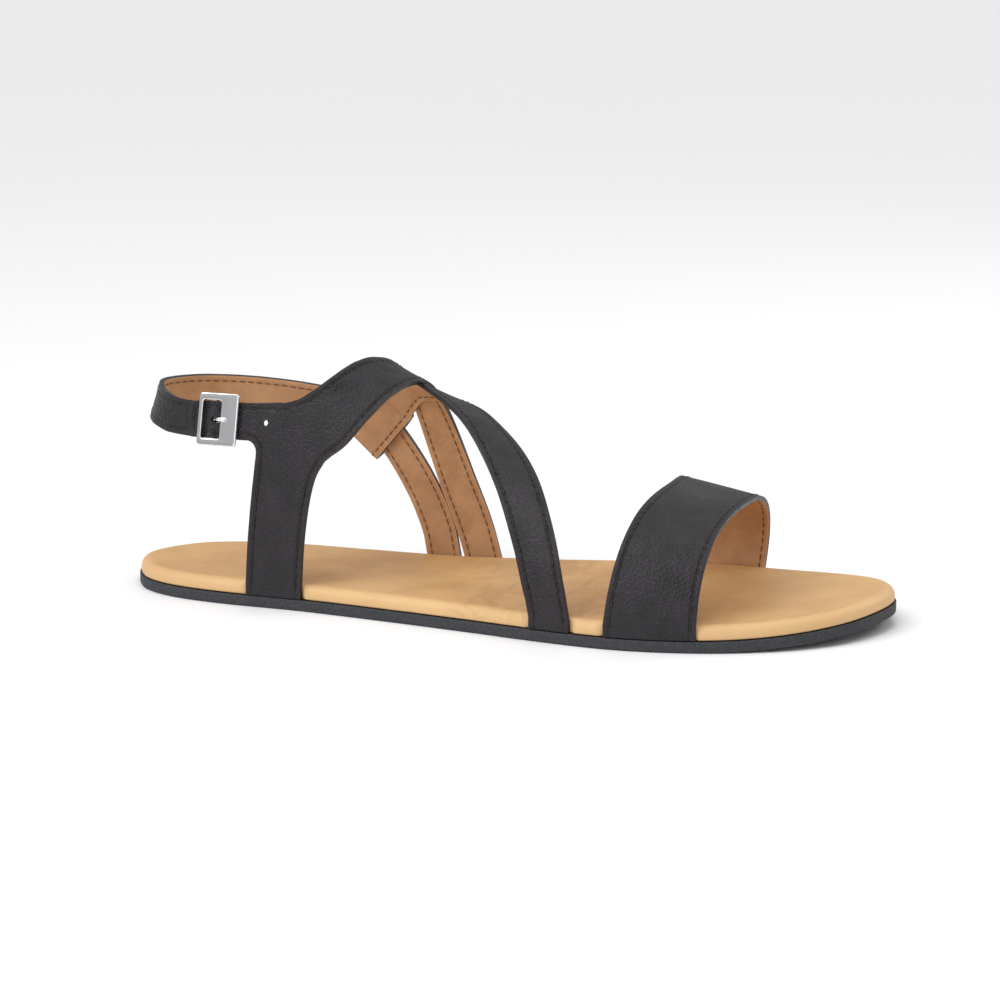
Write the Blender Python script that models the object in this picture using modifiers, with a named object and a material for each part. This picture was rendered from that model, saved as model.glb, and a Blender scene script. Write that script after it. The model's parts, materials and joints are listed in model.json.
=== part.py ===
"""Barefoot sandal for the right foot, unrolled and standing flat on its sole.

Metres. +X points to the toe, +Y to the inner side of the foot and +Z up. A rubber sheet
carries a padded footbed, and the straps are lasted between the two. Every strap lies on
one foot shape. A place on that shape is a station, measured from the back of the heel,
and a girth, measured over the foot from the outer edge of the sole.
"""

import math
from collections import namedtuple

import bmesh
import bpy
import numpy as np
from mathutils import Vector

MM = 0.001
NUDGE = 0.5 * MM
WELD = 0.01 * MM

# Sole sizes
SOLE_LENGTH = 255 * MM
BALL_WIDTH = 96 * MM
OUTSOLE_THICKNESS = 3.5 * MM
FOOTBED_THICKNESS = 4.5 * MM
FOOTBED_INSET = 0.5 * MM
OUTSOLE_LOWER_EDGE = 0.5 * MM
OUTSOLE_UPPER_EDGE = 0.4 * MM
FOOTBED_LOWER_EDGE = 0.6 * MM
FOOTBED_UPPER_EDGE = 3.2 * MM
TOE_SPRING = 4 * MM
SPRING_START = 0.80
CLEARANCE = 0.3 * MM

# Strap sizes
STRAP_THICKNESS = 1.6 * MM
STRAP_INSET = 0.2 * MM
LASTING_MARGIN = 7 * MM
TOE_BAND_WIDTH = 28 * MM
LEG_WIDTH = 19.5 * MM
BILLET_WIDTH = 12 * MM
BAND_WIDTH = 12.5 * MM
CROSSING_WIDTH = 13.5 * MM
HEEL_STRAP_WIDTH = 11.6 * MM
BILLET_LOW = 46.0 * MM
BILLET_HIGH = BILLET_LOW + BILLET_WIDTH
BILLET_MIDDLE = BILLET_LOW + BILLET_WIDTH / 2
CORNER_RADIUS = 4 * MM
STRAP_EDGE = 0.3 * MM
ROW_STEP = 3.6 * MM

# Foot shape
RIM_HEIGHT = 7.6 * MM
SQUARENESS = 2.5
CREST_SHIFT = 3 * MM
ANKLE_STATION = 70 * MM
HEEL_TUCK = 0.6

FOOTBED_BASE = OUTSOLE_THICKNESS + CLEARANCE
FOOTBED_TOP = FOOTBED_BASE + FOOTBED_THICKNESS
MARGIN_HEIGHT = FOOTBED_BASE + STRAP_THICKNESS / 2
DROP = RIM_HEIGHT - MARGIN_HEIGHT

# Sole outline: station as a share of the length, edges as shares of the ball width
Outline = namedtuple("Outline", "station inner outer")
OUTLINE = (
    Outline(0.030, 0.185, 0.185),
    Outline(0.080, 0.275, 0.280),
    Outline(0.160, 0.318, 0.328),
    Outline(0.280, 0.318, 0.345),
    Outline(0.400, 0.322, 0.385),
    Outline(0.520, 0.378, 0.435),
    Outline(0.620, 0.448, 0.480),
    Outline(0.710, 0.498, 0.500),
    Outline(0.800, 0.502, 0.462),
    Outline(0.880, 0.470, 0.375),
    Outline(0.940, 0.400, 0.255),
    Outline(0.980, 0.290, 0.105),
)
TOE_POINT = (1.0, 0.110)

# Height of the foot over the rim, as shares of the sole length
Height = namedtuple("Height", "station height")
HEIGHTS = (
    Height(0.00, 0.345),
    Height(0.16, 0.345),
    Height(0.24, 0.330),
    Height(0.29, 0.302),
    Height(0.34, 0.264),
    Height(0.40, 0.236),
    Height(0.46, 0.214),
    Height(0.52, 0.190),
    Height(0.58, 0.170),
    Height(0.64, 0.154),
    Height(0.70, 0.140),
    Height(0.76, 0.127),
    Height(0.82, 0.114),
    Height(0.90, 0.098),
    Height(1.00, 0.080),
)

# Toe band: share of the way over, rear edge as a share of the sole length, width as a share
ToeBand = namedtuple("ToeBand", "over rear width")
TOE_BAND = (
    ToeBand(0.00, 0.6980, 1.000),
    ToeBand(0.25, 0.7118, 0.911),
    ToeBand(0.50, 0.7196, 0.875),
    ToeBand(0.75, 0.7059, 0.964),
    ToeBand(1.00, 0.6824, 1.054),
)

# Leg: girth as a share of the billet's, rear edge as a share of the sole length, width as
# a share of the leg's
Leg = namedtuple("Leg", "girth rear width")
LEG = (
    Leg(0.000, 0.2039, 1.000),
    Leg(0.304, 0.2063, 1.005),
    Leg(0.609, 0.2094, 1.046),
    Leg(0.783, 0.2110, 1.118),
    Leg(0.891, 0.2118, 1.241),
)
CORNER_REAR = LEG[-1].rear * SOLE_LENGTH

# Hub above the leg, in the same shares, its width measured from the leg's last rear edge
HUB = (
    Leg(1.000, LEG[-1].rear, 1.538),
    Leg(1.087, LEG[-1].rear, 1.692),
    Leg(1.261, LEG[-1].rear, 1.923),
)

# Instep band edges from the hub to the crest: stations as shares of the sole length, girths
# as shares of the way from the billet to the inner edge, lift as a share of the thickness
Band = namedtuple("Band", "rear_station rear_over front_station front_over lift")
BAND = (
    Band(0.2392, 0.0029, 0.3647, 0.0292, 0.00),
    Band(0.2647, 0.0182, 0.3706, 0.0689, 0.06),
    Band(0.2882, 0.0541, 0.3765, 0.1192, 0.19),
    Band(0.3098, 0.1185, 0.3812, 0.1903, 0.44),
    Band(0.3239, 0.2034, 0.3843, 0.2818, 0.62),
)

# Instep band centre past the crest, in the same shares
Path = namedtuple("Path", "station over lift")
BAND_PATH = (
    Path(0.3608, 0.3426, 0.69),
    Path(0.3725, 0.5065, 0.62),
    Path(0.3961, 0.7131, 0.25),
    Path(0.4216, 0.8940, 0.00),
    Path(0.4333, 1.0000, 0.00),
)

# Crossing strap centre: station as a share of the sole length, girth as one of the way over
Crossing = namedtuple("Crossing", "station over")
CROSSING = (
    Crossing(0.6275, 0.0000),
    Crossing(0.6196, 0.0581),
    Crossing(0.5980, 0.1735),
    Crossing(0.5608, 0.3011),
    Crossing(0.5078, 0.4261),
    Crossing(0.4471, 0.5279),
)

# Loop round the heel strap on the inner ankle, its place in the same shares
LOOP_PLACE = Crossing(0.2902, 0.7650)
LOOP_TILT = math.radians(42)
LOOP_ROOM = 1.3 * MM
LOOP_REACH = HEEL_STRAP_WIDTH / 2 + LOOP_ROOM
LOOP_SINK = 0.9 * MM
LOOP_TAIL = 4.5 * MM
LOOP_RADIUS = STRAP_THICKNESS + CLEARANCE

# Ways down the crossing strap from the loop middle, as shares of the loop's reach
LOOP_APPROACH = (-3.66, -1.90)
LOOP_BACK = (-1.90, -1.27, -0.63, 0.0, 0.63, 1.0)
LOOP_FRONT = (0.42, -0.42, -1.0)

# Heel strap up from the inner sole edge, as shares of the sole length
Anchor = namedtuple("Anchor", "station height lift")
HEEL_ANCHOR = (
    Anchor(0.3804, 0.0000, 0.00),
    Anchor(0.3718, 0.0392, 0.00),
    Anchor(0.3471, 0.0941, 0.25),
)

# Heel strap round the heel: distance round the rim from the back of the heel as a share of
# the sole length, inner side positive, and height as a share of the billet's
Heel = namedtuple("Heel", "round height lift")
HEEL_WRAP = (
    Heel(0.2431, 0.971, 0.12),
    Heel(0.1804, 1.000, 0.00),
    Heel(0.1176, 1.019, 0.00),
    Heel(0.0471, 1.035, 0.00),
    Heel(-0.0314, 1.035, 0.00),
    Heel(-0.0902, 1.014, 0.20),
    Heel(-0.1280, 0.990, 0.60),
)

# Buckle, measured back along the billet from where it leaves the hub
BUCKLE_START = 7.0 * MM
FRONT_BAR = 6.0 * MM
WINDOW_LENGTH = 6.4 * MM
REAR_BAR = 1.4 * MM
FRAME_LENGTH = FRONT_BAR + WINDOW_LENGTH + REAR_BAR
FRAME_WIDTH = 17.0 * MM
FRAME_THICKNESS = 1.4 * MM
FRAME_EDGE = 0.5 * MM
FRAME_RISE = 0.5 * MM
FRAME_LEVEL = STRAP_THICKNESS / 2 + FRAME_RISE
SIDE_BAR = (FRAME_WIDTH - BILLET_WIDTH) / 2 - CLEARANCE
CHEEK_INSET = 0.7 * MM
CHEEK_EDGE = 0.25 * MM
CHEEK_SHAPE = 0.8
PIN_BEHIND_BAR = 3.4 * MM
PIN_PLACE = BUCKLE_START + FRONT_BAR + PIN_BEHIND_BAR
PIN_RADIUS = 0.65 * MM
FOLD_RADIUS = PIN_RADIUS + CLEARANCE + STRAP_THICKNESS / 2
BILLET_BULGE = 1.2 * MM
BULGE_REACH = 1.9 * MM
PIN_LEVEL = BILLET_BULGE - STRAP_THICKNESS - CLEARANCE - FOLD_RADIUS
BILLET_TIP = 25.0 * MM
TIP_RADIUS = 4.0 * MM
TIP_WIDTH = 0.55
PRONG_RADIUS = 0.7 * MM
PRONG_HOOK = PIN_RADIUS + CLEARANCE + PRONG_RADIUS
PRONG_REST = FRAME_LEVEL + FRAME_THICKNESS + CLEARANCE + PRONG_RADIUS
HOLE_RADIUS = 1.0 * MM
SPARE_HOLE = -2.0 * MM
PRONG_LEAD = 1.6 * MM
PRONG_HOLE = PIN_PLACE - PRONG_LEAD
HOLE_STRETCH = 1.75
SLOT_ROOM = 0.4 * MM
SLOT_WIDTH = 2 * (PRONG_RADIUS + SLOT_ROOM)
SLOT_BEHIND = 3.0 * MM
SLOT_LENGTH = 7.5 * MM
CUTTER_DEPTH = 9 * MM
CUTTER_REACH = 2 * MM

# Heel strap end before its turn round the pin: distance behind the pin in fold radii, and
# level as a share of the gap under the billet
Fold = namedtuple("Fold", "behind level")
FOLD_LEAD = (
    Fold(4.34, 1.00),
    Fold(2.63, 1.00),
    Fold(1.83, 0.99),
    Fold(1.17, 0.85),
)
FOLD_START = 40
FOLD_TURN = 22
FOLD_RETURN = (1.49, 3.20, 5.20)

# Prong between the pin and the front bar, in prong radii: along from the hole or the bar,
# and out from the hook or the resting level
Prong = namedtuple("Prong", "along out")
PRONG_RISE = (Prong(0.15, 1.4), Prong(-0.7, 3.4))
PRONG_LIE = (Prong(0.7, -0.5), Prong(-1.0, 0.0), Prong(-2.6, 0.0))
PRONG_POINT = 0.55

# Colours as seen, with roughness and metallic
Finish = namedtuple("Finish", "name red green blue roughness metallic")
RUBBER = Finish("black_rubber", 52, 53, 57, 0.85, 0.0)
TAN = Finish("tan_leather", 206, 160, 98, 0.60, 0.0)
DARK = Finish("dark_leather", 52, 46, 48, 0.48, 0.0)
SILVER = Finish("polished_silver", 225, 225, 228, 0.15, 1.0)


def curve_through(points, closed=False, fine=24):
    """Dense points on a smooth curve through the given ones."""
    points = np.asarray(points, float)
    if closed:
        ends = np.vstack([points[-1:], points, points[:2]])
        spans = len(points)
    else:
        first = 2 * points[0] - points[1]
        last = 2 * points[-1] - points[-2]
        ends = np.vstack([first, points, last])
        spans = len(points) - 1
    chords = np.linalg.norm(np.diff(ends, axis=0), axis=1)
    knots = np.concatenate([[0.0], np.cumsum(chords)])
    t = np.linspace(0, 1, fine, endpoint=False)[:, None]
    dense = []
    for i in range(1, spans + 1):
        step = knots[i + 1] - knots[i]
        leaving = (ends[i + 1] - ends[i - 1]) / (knots[i + 1] - knots[i - 1]) * step
        arriving = (ends[i + 2] - ends[i]) / (knots[i + 2] - knots[i]) * step
        dense.append(
            (2 * t**3 - 3 * t**2 + 1) * ends[i]
            + (t**3 - 2 * t**2 + t) * leaving
            + (3 * t**2 - 2 * t**3) * ends[i + 1]
            + (t**3 - t**2) * arriving
        )
    if not closed:
        dense.append(points[-1:])
    return np.vstack(dense)


def run_length(points):
    """Distance from the first point to each point."""
    steps = np.linalg.norm(np.diff(points, axis=0), axis=1)
    return np.concatenate([[0.0], np.cumsum(steps)])


def evenly(points, step):
    """The same curve with points about one step apart."""
    length = run_length(points)
    count = max(2, round(length[-1] / step) + 1)
    at = np.linspace(0, length[-1], count)
    return np.stack([np.interp(at, length, column) for column in points.T], axis=1)


def blend(share):
    """Soft step from 0 to 1."""
    share = min(max(share, 0.0), 1.0)
    return share * share * (3 - 2 * share)


def outline_ring():
    """Dense sole outline, from the back of the heel along the inner side and round."""
    inner = [(row.station, row.inner) for row in OUTLINE]
    outer = [(row.station, -row.outer) for row in reversed(OUTLINE)]
    shares = np.array([(0.0, 0.0)] + inner + [TOE_POINT] + outer)
    ring = curve_through(shares * (SOLE_LENGTH, BALL_WIDTH), closed=True)
    ring = np.roll(ring, -int(ring[:, 0].argmin()), axis=0)
    ring[:, 0] -= ring[0, 0]
    ring[:, 0] *= SOLE_LENGTH / ring[:, 0].max()
    return ring


def inward_of(ring):
    """Unit directions into the ring, in plan."""
    along = np.roll(ring, -1, axis=0) - np.roll(ring, 1, axis=0)
    along /= np.linalg.norm(along, axis=1)[:, None]
    return np.stack([along[:, 1], -along[:, 0]], axis=1) * turn_of(ring)


def turn_of(ring):
    """One for a clockwise ring, minus one for the other way."""
    following = np.roll(ring, -1, axis=0)
    area = (ring[:, 0] * following[:, 1] - ring[:, 1] * following[:, 0]).sum()
    return -1.0 if area > 0 else 1.0


def sides_of(ring):
    """The inner and the outer edge of a ring, each from heel to toe."""
    toe = int(ring[:, 0].argmax())
    inner = ring[: toe + 1]
    outer = np.vstack([ring[toe:], ring[:1]])[::-1]
    return inner, outer


RING = outline_ring()
LAST_RING = RING + inward_of(RING) * (STRAP_INSET + STRAP_THICKNESS / 2)
INNER_EDGE, OUTER_EDGE = sides_of(LAST_RING)
INNER_LENGTH = run_length(INNER_EDGE)
OUTER_LENGTH = run_length(OUTER_EDGE)
HEIGHT_CURVE = curve_through([(row.station, row.height) for row in HEIGHTS])


def edge_at(edge, station):
    return float(np.interp(station, edge[:, 0], edge[:, 1]))


def edge_slope(edge, station):
    return (edge_at(edge, station + MM) - edge_at(edge, station - MM)) / (2 * MM)


def foot_height(station):
    share = np.interp(station / SOLE_LENGTH, HEIGHT_CURVE[:, 0], HEIGHT_CURVE[:, 1])
    return float(share) * SOLE_LENGTH


def sole_lift(x):
    """Rise of the sole towards the tip of the toe."""
    past = (x / SOLE_LENGTH - SPRING_START) / (1 - SPRING_START)
    return TOE_SPRING * max(past, 0.0) ** 2


def settle(station, y, z, side):
    """Point on the foot shape. The heel draws in as it rises."""
    behind = max(ANKLE_STATION - station, 0.0)
    x = station + behind * HEEL_TUCK * (1 - side)
    return np.array([x, y, z + sole_lift(station)])


SECTIONS = {}


def section(station):
    """Girths, y, z and side share of the foot section at a station."""
    key = round(station, 6)
    if key not in SECTIONS:
        inner = edge_at(INNER_EDGE, station)
        outer = edge_at(OUTER_EDGE, station)
        turn = np.linspace(0, math.pi, 181)
        power = 2 / SQUARENESS
        side = np.sign(np.cos(turn)) * np.abs(np.cos(turn)) ** power
        rise = np.abs(np.sin(turn)) ** power
        y = (inner + outer) / 2 - (inner - outer) / 2 * side + CREST_SHIFT * rise
        z = RIM_HEIGHT + foot_height(station) * rise
        girth = run_length(np.stack([y, z], axis=1))
        SECTIONS[key] = (girth, y, z, np.abs(side))
    return SECTIONS[key]


def whole_girth(station):
    return float(section(station)[0][-1])


def on_foot(station, girth):
    """Middle of a strap at a place on the foot, or lasted under the footbed past either edge."""
    girths, y, z, side = section(station)
    whole = girths[-1]
    if 0 <= girth <= whole:
        return settle(
            station,
            float(np.interp(girth, girths, y)),
            float(np.interp(girth, girths, z)),
            float(np.interp(girth, girths, side)),
        )
    past = -girth if girth < 0 else girth - whole
    inward = 1.0 if girth < 0 else -1.0
    edge = y[0] if girth < 0 else y[-1]
    return settle(
        station,
        edge + inward * max(past - DROP, 0.0),
        RIM_HEIGHT - min(past, DROP),
        1.0,
    )


def over_foot(station, girth, lift=0.0):
    """The same place, lifted off the foot."""
    place = on_foot(station, girth)
    if not lift:
        return place
    forward = on_foot(station + NUDGE, girth) - on_foot(station - NUDGE, girth)
    over = on_foot(station, girth + NUDGE) - on_foot(station, girth - NUDGE)
    outward = np.cross(over, forward)
    return place - lift * outward / np.linalg.norm(outward)


def square_to(station, girth, direction):
    """Direction on the foot, in station and girth, square to another and of true unit length."""
    forward = on_foot(station + NUDGE, girth) - on_foot(station - NUDGE, girth)
    over = on_foot(station, girth + NUDGE) - on_foot(station, girth - NUDGE)
    axes = np.stack([forward, over]) / (2 * NUDGE)
    pull = axes @ (direction @ axes)
    square = np.array([pull[1], -pull[0]])
    return square / np.linalg.norm(square @ axes)


def round_heel(around, height, lift=0.0):
    """Place on the heel: distance round the rim, inner side positive, and height over it."""
    edge, length = (
        (INNER_EDGE, INNER_LENGTH) if around >= 0 else (OUTER_EDGE, OUTER_LENGTH)
    )
    station = float(np.interp(abs(around), length, edge[:, 0]))
    y = float(np.interp(abs(around), length, edge[:, 1]))
    if height <= 0:
        inward = -math.copysign(1.0, around)
        y += inward * max(-height - DROP, 0.0)
        return settle(station, y, RIM_HEIGHT - min(-height, DROP), 1.0)
    middle = (edge_at(INNER_EDGE, station) + edge_at(OUTER_EDGE, station)) / 2
    rise = height / foot_height(station)
    side = math.sqrt(1 - rise**SQUARENESS) ** (2 / SQUARENESS)
    place = settle(
        station,
        middle + (y - middle) * side + CREST_SHIFT * rise,
        RIM_HEIGHT + height,
        side,
    )
    if not lift:
        return place
    onward = round_heel(around + NUDGE, height) - round_heel(around - NUDGE, height)
    up = round_heel(around, height + NUDGE) - round_heel(around, height - NUDGE)
    outward = np.cross(up, onward)
    return place + lift * outward / np.linalg.norm(outward)


class Billet:
    """Flat frame of the billet and buckle, on the outer ankle."""

    def __init__(self):
        girth = BILLET_MIDDLE
        self.origin = on_foot(CORNER_REAR, girth)
        ahead = on_foot(CORNER_REAR + CORNER_RADIUS, girth)
        above = on_foot(CORNER_REAR, girth + BILLET_WIDTH / 6)
        below = on_foot(CORNER_REAR, girth - BILLET_WIDTH / 6)
        self.along = self.origin - ahead
        self.along /= np.linalg.norm(self.along)
        across = above - below
        across -= self.along * (across @ self.along)
        self.across = across / np.linalg.norm(across)
        self.outward = np.cross(self.across, self.along)
        if self.outward[1] > 0:
            self.outward = -self.outward

    def at(self, along, across=0.0, out=0.0):
        return (
            self.origin
            + self.along * along
            + self.across * across
            + self.outward * out
        )


BILLET = Billet()


def billet_rise(along):
    """Rise of the billet where it passes over the pin."""
    return BILLET_BULGE * math.exp(-(((along - PIN_PLACE) / BULGE_REACH) ** 2))


def new_collection(name, hidden=False):
    collection = bpy.data.collections.new(name)
    collection.hide_render = hidden
    bpy.context.scene.collection.children.link(collection)
    return collection


def linear(value):
    share = value / 255
    return share / 12.92 if share <= 0.04045 else ((share + 0.055) / 1.055) ** 2.4


def material_of(finish):
    found = bpy.data.materials.get(finish.name)
    if found:
        return found
    material = bpy.data.materials.new(finish.name)
    material.use_nodes = True
    shader = material.node_tree.nodes["Principled BSDF"]
    colour = (linear(finish.red), linear(finish.green), linear(finish.blue), 1)
    shader.inputs["Base Color"].default_value = colour
    shader.inputs["Roughness"].default_value = finish.roughness
    shader.inputs["Metallic"].default_value = finish.metallic
    material.diffuse_color = colour
    return material


def object_from(name, mesh, collection, finish=None):
    made = bpy.data.objects.new(name, mesh)
    collection.objects.link(made)
    if finish:
        mesh.materials.append(material_of(finish))
    else:
        made.hide_render = True
        made.display_type = "WIRE"
    return made


def mesh_from(name, points, faces):
    """Mesh with its faces turned the same way, outward when it is closed."""
    mesh = bpy.data.meshes.new(name)
    mesh.from_pydata([tuple(point) for point in points], [], faces)
    body = bmesh.new()
    body.from_mesh(mesh)
    bmesh.ops.remove_doubles(body, verts=body.verts, dist=1e-7)
    bmesh.ops.recalc_face_normals(body, faces=body.faces)
    body.to_mesh(mesh)
    body.free()
    return mesh


def bevel(made, width, segments=1, angle=50):
    modifier = made.modifiers.new("Soft edge", "BEVEL")
    modifier.width = width
    modifier.segments = segments
    modifier.limit_method = "ANGLE"
    modifier.angle_limit = math.radians(angle)
    return modifier


def join(made, other, operation):
    modifier = made.modifiers.new(operation.title(), "BOOLEAN")
    modifier.operation = operation
    modifier.solver = "EXACT"
    modifier.object = other


def sheet(name, points, faces, collection, finish):
    """Strap made of a middle surface and one thickness."""
    made = object_from(name, mesh_from(name, points, faces), collection, finish)
    thicken = made.modifiers.new("Leather", "SOLIDIFY")
    thicken.thickness = STRAP_THICKNESS
    thicken.offset = 0
    thicken.use_even_offset = True
    bevel(made, STRAP_EDGE)
    return made


def grid_faces(rows, columns, first=0):
    return [
        (
            first + i * columns + j,
            first + i * columns + j + 1,
            first + (i + 1) * columns + j + 1,
            first + (i + 1) * columns + j,
        )
        for i in range(rows - 1)
        for j in range(columns - 1)
    ]


def sole_slab(name, profile, collection, finish, stations=44):
    """Slab with the sole outline, from rows of inset and height."""
    ring_inner, ring_outer = sides_of(RING)
    spread = (1 - np.cos(np.linspace(0, math.pi, stations + 1))) / 2 * SOLE_LENGTH
    inner = [(x, edge_at(ring_inner, x)) for x in spread]
    outer = [(x, edge_at(ring_outer, x)) for x in spread[1:-1]]
    ring = np.array(inner + outer[::-1])
    inward = inward_of(ring)
    size = len(ring)
    points = []
    for inset, z in profile:
        for x, y in ring + inward * inset:
            points.append((x, y, z + sole_lift(x)))
    faces = []
    for i in range(len(profile) - 1):
        for j in range(size):
            k = (j + 1) % size
            faces.append(
                (i * size + j, i * size + k, (i + 1) * size + k, (i + 1) * size + j)
            )
    for first in (0, (len(profile) - 1) * size):
        for j in range(stations):
            corners = [j, j + 1, (size - j - 1) % size, (size - j) % size]
            corners = list(dict.fromkeys(corners))
            faces.append([first + corner for corner in corners])
    return object_from(name, mesh_from(name, points, faces), collection, finish)


def rounded(inset, low, high, low_radius, high_radius, steps):
    """Edge profile with rounded corners, as rows of inset and height."""
    rows = []
    for i in range(3):
        turn = i * math.pi / 4
        rows.append(
            (
                inset + low_radius * (1 - math.sin(turn)),
                low + low_radius * (1 - math.cos(turn)),
            )
        )
    for i in range(steps + 1):
        turn = i * math.pi / 2 / steps
        rows.append(
            (
                inset + high_radius * (1 - math.cos(turn)),
                high - high_radius * (1 - math.sin(turn)),
            )
        )
    return rows


def anchor_cutter(name, edge, rear, front, collection):
    """Notch in the footbed rim and pocket under it for one strap end."""
    depth = STRAP_INSET + STRAP_THICKNESS + CLEARANCE
    margin = STRAP_INSET + STRAP_THICKNESS / 2 + LASTING_MARGIN + CLEARANCE
    outside = -CUTTER_REACH
    under = FOOTBED_BASE - CUTTER_REACH / 2
    pocket = FOOTBED_BASE + STRAP_THICKNESS + CLEARANCE
    above = FOOTBED_TOP + CUTTER_REACH
    outline = (
        (outside, under),
        (margin, under),
        (margin, pocket),
        (depth, pocket),
        (depth, above),
        (outside, above),
    )
    count = max(3, round((front - rear) / ROW_STEP) + 1)
    slant = max(abs(edge_slope(edge, rear)), abs(edge_slope(edge, front)))
    beyond = CLEARANCE + slant * STRAP_THICKNESS / 2
    stations = np.linspace(rear - beyond, front + beyond, count)
    inward = -math.copysign(1.0, edge_at(edge, rear))
    points = []
    for station in stations:
        rim = edge_at(edge, station)
        stretch = math.hypot(1.0, edge_slope(edge, station))
        for inset, z in outline:
            y = rim + inward * (inset - STRAP_INSET - STRAP_THICKNESS / 2) * stretch
            points.append((station, y, z + sole_lift(station)))
    size = len(outline)
    faces = [tuple(range(size)), tuple(range(size * (count - 1), size * count))]
    for i in range(count - 1):
        for j in range(size):
            k = (j + 1) % size
            faces.append(
                (i * size + j, i * size + k, (i + 1) * size + k, (i + 1) * size + j)
            )
    return object_from(name, mesh_from(name, points, faces), collection)


# One row of points across a strap. Ends are station and girth; the girth counts from the
# outer sole edge, from the inner one, or as a share of the way over.
Row = namedtuple("Row", "rear front lift measure", defaults=(0.0, "outer"))


def row_points(row, columns):
    """Points across a strap along one row."""
    points = []
    rear, front = np.array(row.rear), np.array(row.front)
    for share in np.linspace(0, 1, columns):
        station, girth = rear + (front - rear) * share
        if row.measure == "inner":
            girth += whole_girth(station)
        elif row.measure == "share":
            girth *= whole_girth(station)
        points.append(over_foot(station, girth, row.lift))
    return points


def edge_rows(rows, columns):
    """Points of a whole strap, row after row."""
    return [point for row in rows for point in row_points(row, columns)]


def margin_reach():
    """Distances past the rim at which a strap end gets a row, from its cut edge up."""
    return DROP + LASTING_MARGIN, DROP + LASTING_MARGIN / 2, DROP, DROP / 2


def margin_rows(rear, front, outer):
    """Rows of one strap end, from under the footbed up to the rim."""
    reach = margin_reach()
    if outer:
        return [Row((rear, -past), (front, -past)) for past in reach]
    return [Row((rear, past), (front, past), 0.0, "inner") for past in reversed(reach)]


def toe_band_edges(row):
    """Rear and front station of the toe band at one row of its table."""
    rear = row.rear * SOLE_LENGTH
    return rear, rear + row.width * TOE_BAND_WIDTH


def make_toe_band(collection):
    table = curve_through(TOE_BAND)
    outer, inner = TOE_BAND[0], TOE_BAND[-1]
    steps = round(whole_girth(outer.rear * SOLE_LENGTH) / ROW_STEP)
    rows = margin_rows(*toe_band_edges(outer), True)
    for over, rear, width in evenly(table, run_length(table)[-1] / steps):
        ends = toe_band_edges(ToeBand(over, rear, width))
        rows.append(Row((ends[0], over), (ends[1], over), 0.0, "share"))
    rows += margin_rows(*toe_band_edges(inner), False)
    columns = 6
    return sheet(
        "toe_band",
        edge_rows(rows, columns),
        grid_faces(len(rows), columns),
        collection,
        DARK,
    )


def leg_edges(row):
    """Rear and front station of the leg at one row of its table."""
    rear = row.rear * SOLE_LENGTH
    return rear, rear + row.width * LEG_WIDTH


def hub_front(girth):
    """Front edge of the hub between the leg and the band."""
    rows = LEG[-2:] + HUB
    fronts = [leg_edges(row)[1] for row in rows]
    return float(np.interp(girth / BILLET_LOW, [row.girth for row in rows], fronts))


def leg_rows():
    """Rows of the leg and hub, and which of them carry the billet."""
    table = [(row.girth * BILLET_LOW, *leg_edges(row)) for row in LEG]
    rows = margin_rows(*leg_edges(LEG[0]), True)
    for girth, rear, front in evenly(curve_through(table), ROW_STEP):
        rows.append(Row((rear, girth), (front, girth)))
    for i in range(1, 5):
        turn = i * math.pi / 8
        girth = BILLET_LOW - CORNER_RADIUS * (1 - math.sin(turn))
        rear = CORNER_REAR - CORNER_RADIUS * (1 - math.cos(turn))
        rows.append(Row((rear, girth), (hub_front(girth), girth)))
    first = len(rows) - 1
    for girth in np.linspace(BILLET_LOW, BILLET_HIGH, 6)[1:]:
        rows.append(Row((CORNER_REAR - CORNER_RADIUS, girth), (hub_front(girth), girth)))
    return rows, first


def above_billet(share, over):
    """Station and girth from the shares of the instep band's tables."""
    station = share * SOLE_LENGTH
    return station, BILLET_HIGH + over * (whole_girth(station) - BILLET_HIGH)


def band_rows():
    """Rows of the instep band, from the hub over to the inner sole edge."""
    rows = []
    for row in BAND:
        rear = above_billet(row.rear_station, row.rear_over)
        front = above_billet(row.front_station, row.front_over)
        rows.append((rear, front, row.lift * STRAP_THICKNESS))
    centre = []
    for row in BAND_PATH:
        place = above_billet(row.station, row.over)
        centre.append((*place, row.lift * STRAP_THICKNESS))
    centre = np.array(centre)
    slopes = np.gradient(centre[:, :2], axis=0)
    last = len(centre) - 1
    for i, (station, girth, lift) in enumerate(centre):
        if i == last:
            rear = station - BAND_WIDTH / 2
            front = station + BAND_WIDTH / 2
            rows.append(((rear, whole_girth(rear)), (front, whole_girth(front)), lift))
            continue
        middle = np.array([station, girth])
        half = square_to(station, girth, slopes[i]) * BAND_WIDTH / 2
        rows.append((middle - half, middle + half, lift))
    table = np.array([[*rear, *front, lift] for rear, front, lift in rows])
    table = evenly(curve_through(table), ROW_STEP * math.sqrt(2))
    smooth = [Row(row[:2], row[2:4], row[4]) for row in table[:-1]]
    station = BAND_PATH[-1].station * SOLE_LENGTH
    rear, front = station - BAND_WIDTH / 2, station + BAND_WIDTH / 2
    smooth.append(Row((rear, 0.0), (front, 0.0), 0.0, "inner"))
    return smooth + margin_rows(rear, front, False)


def billet_place(station, girth):
    """Middle of the billet, which leaves the foot shape for its own flat frame."""
    along = CORNER_REAR - station
    across = girth - BILLET_MIDDLE
    flat = BILLET.at(along, across, billet_rise(along))
    share = blend(along / (1.25 * CORNER_RADIUS))
    return on_foot(station, girth) * (1 - share) + flat * share


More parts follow.
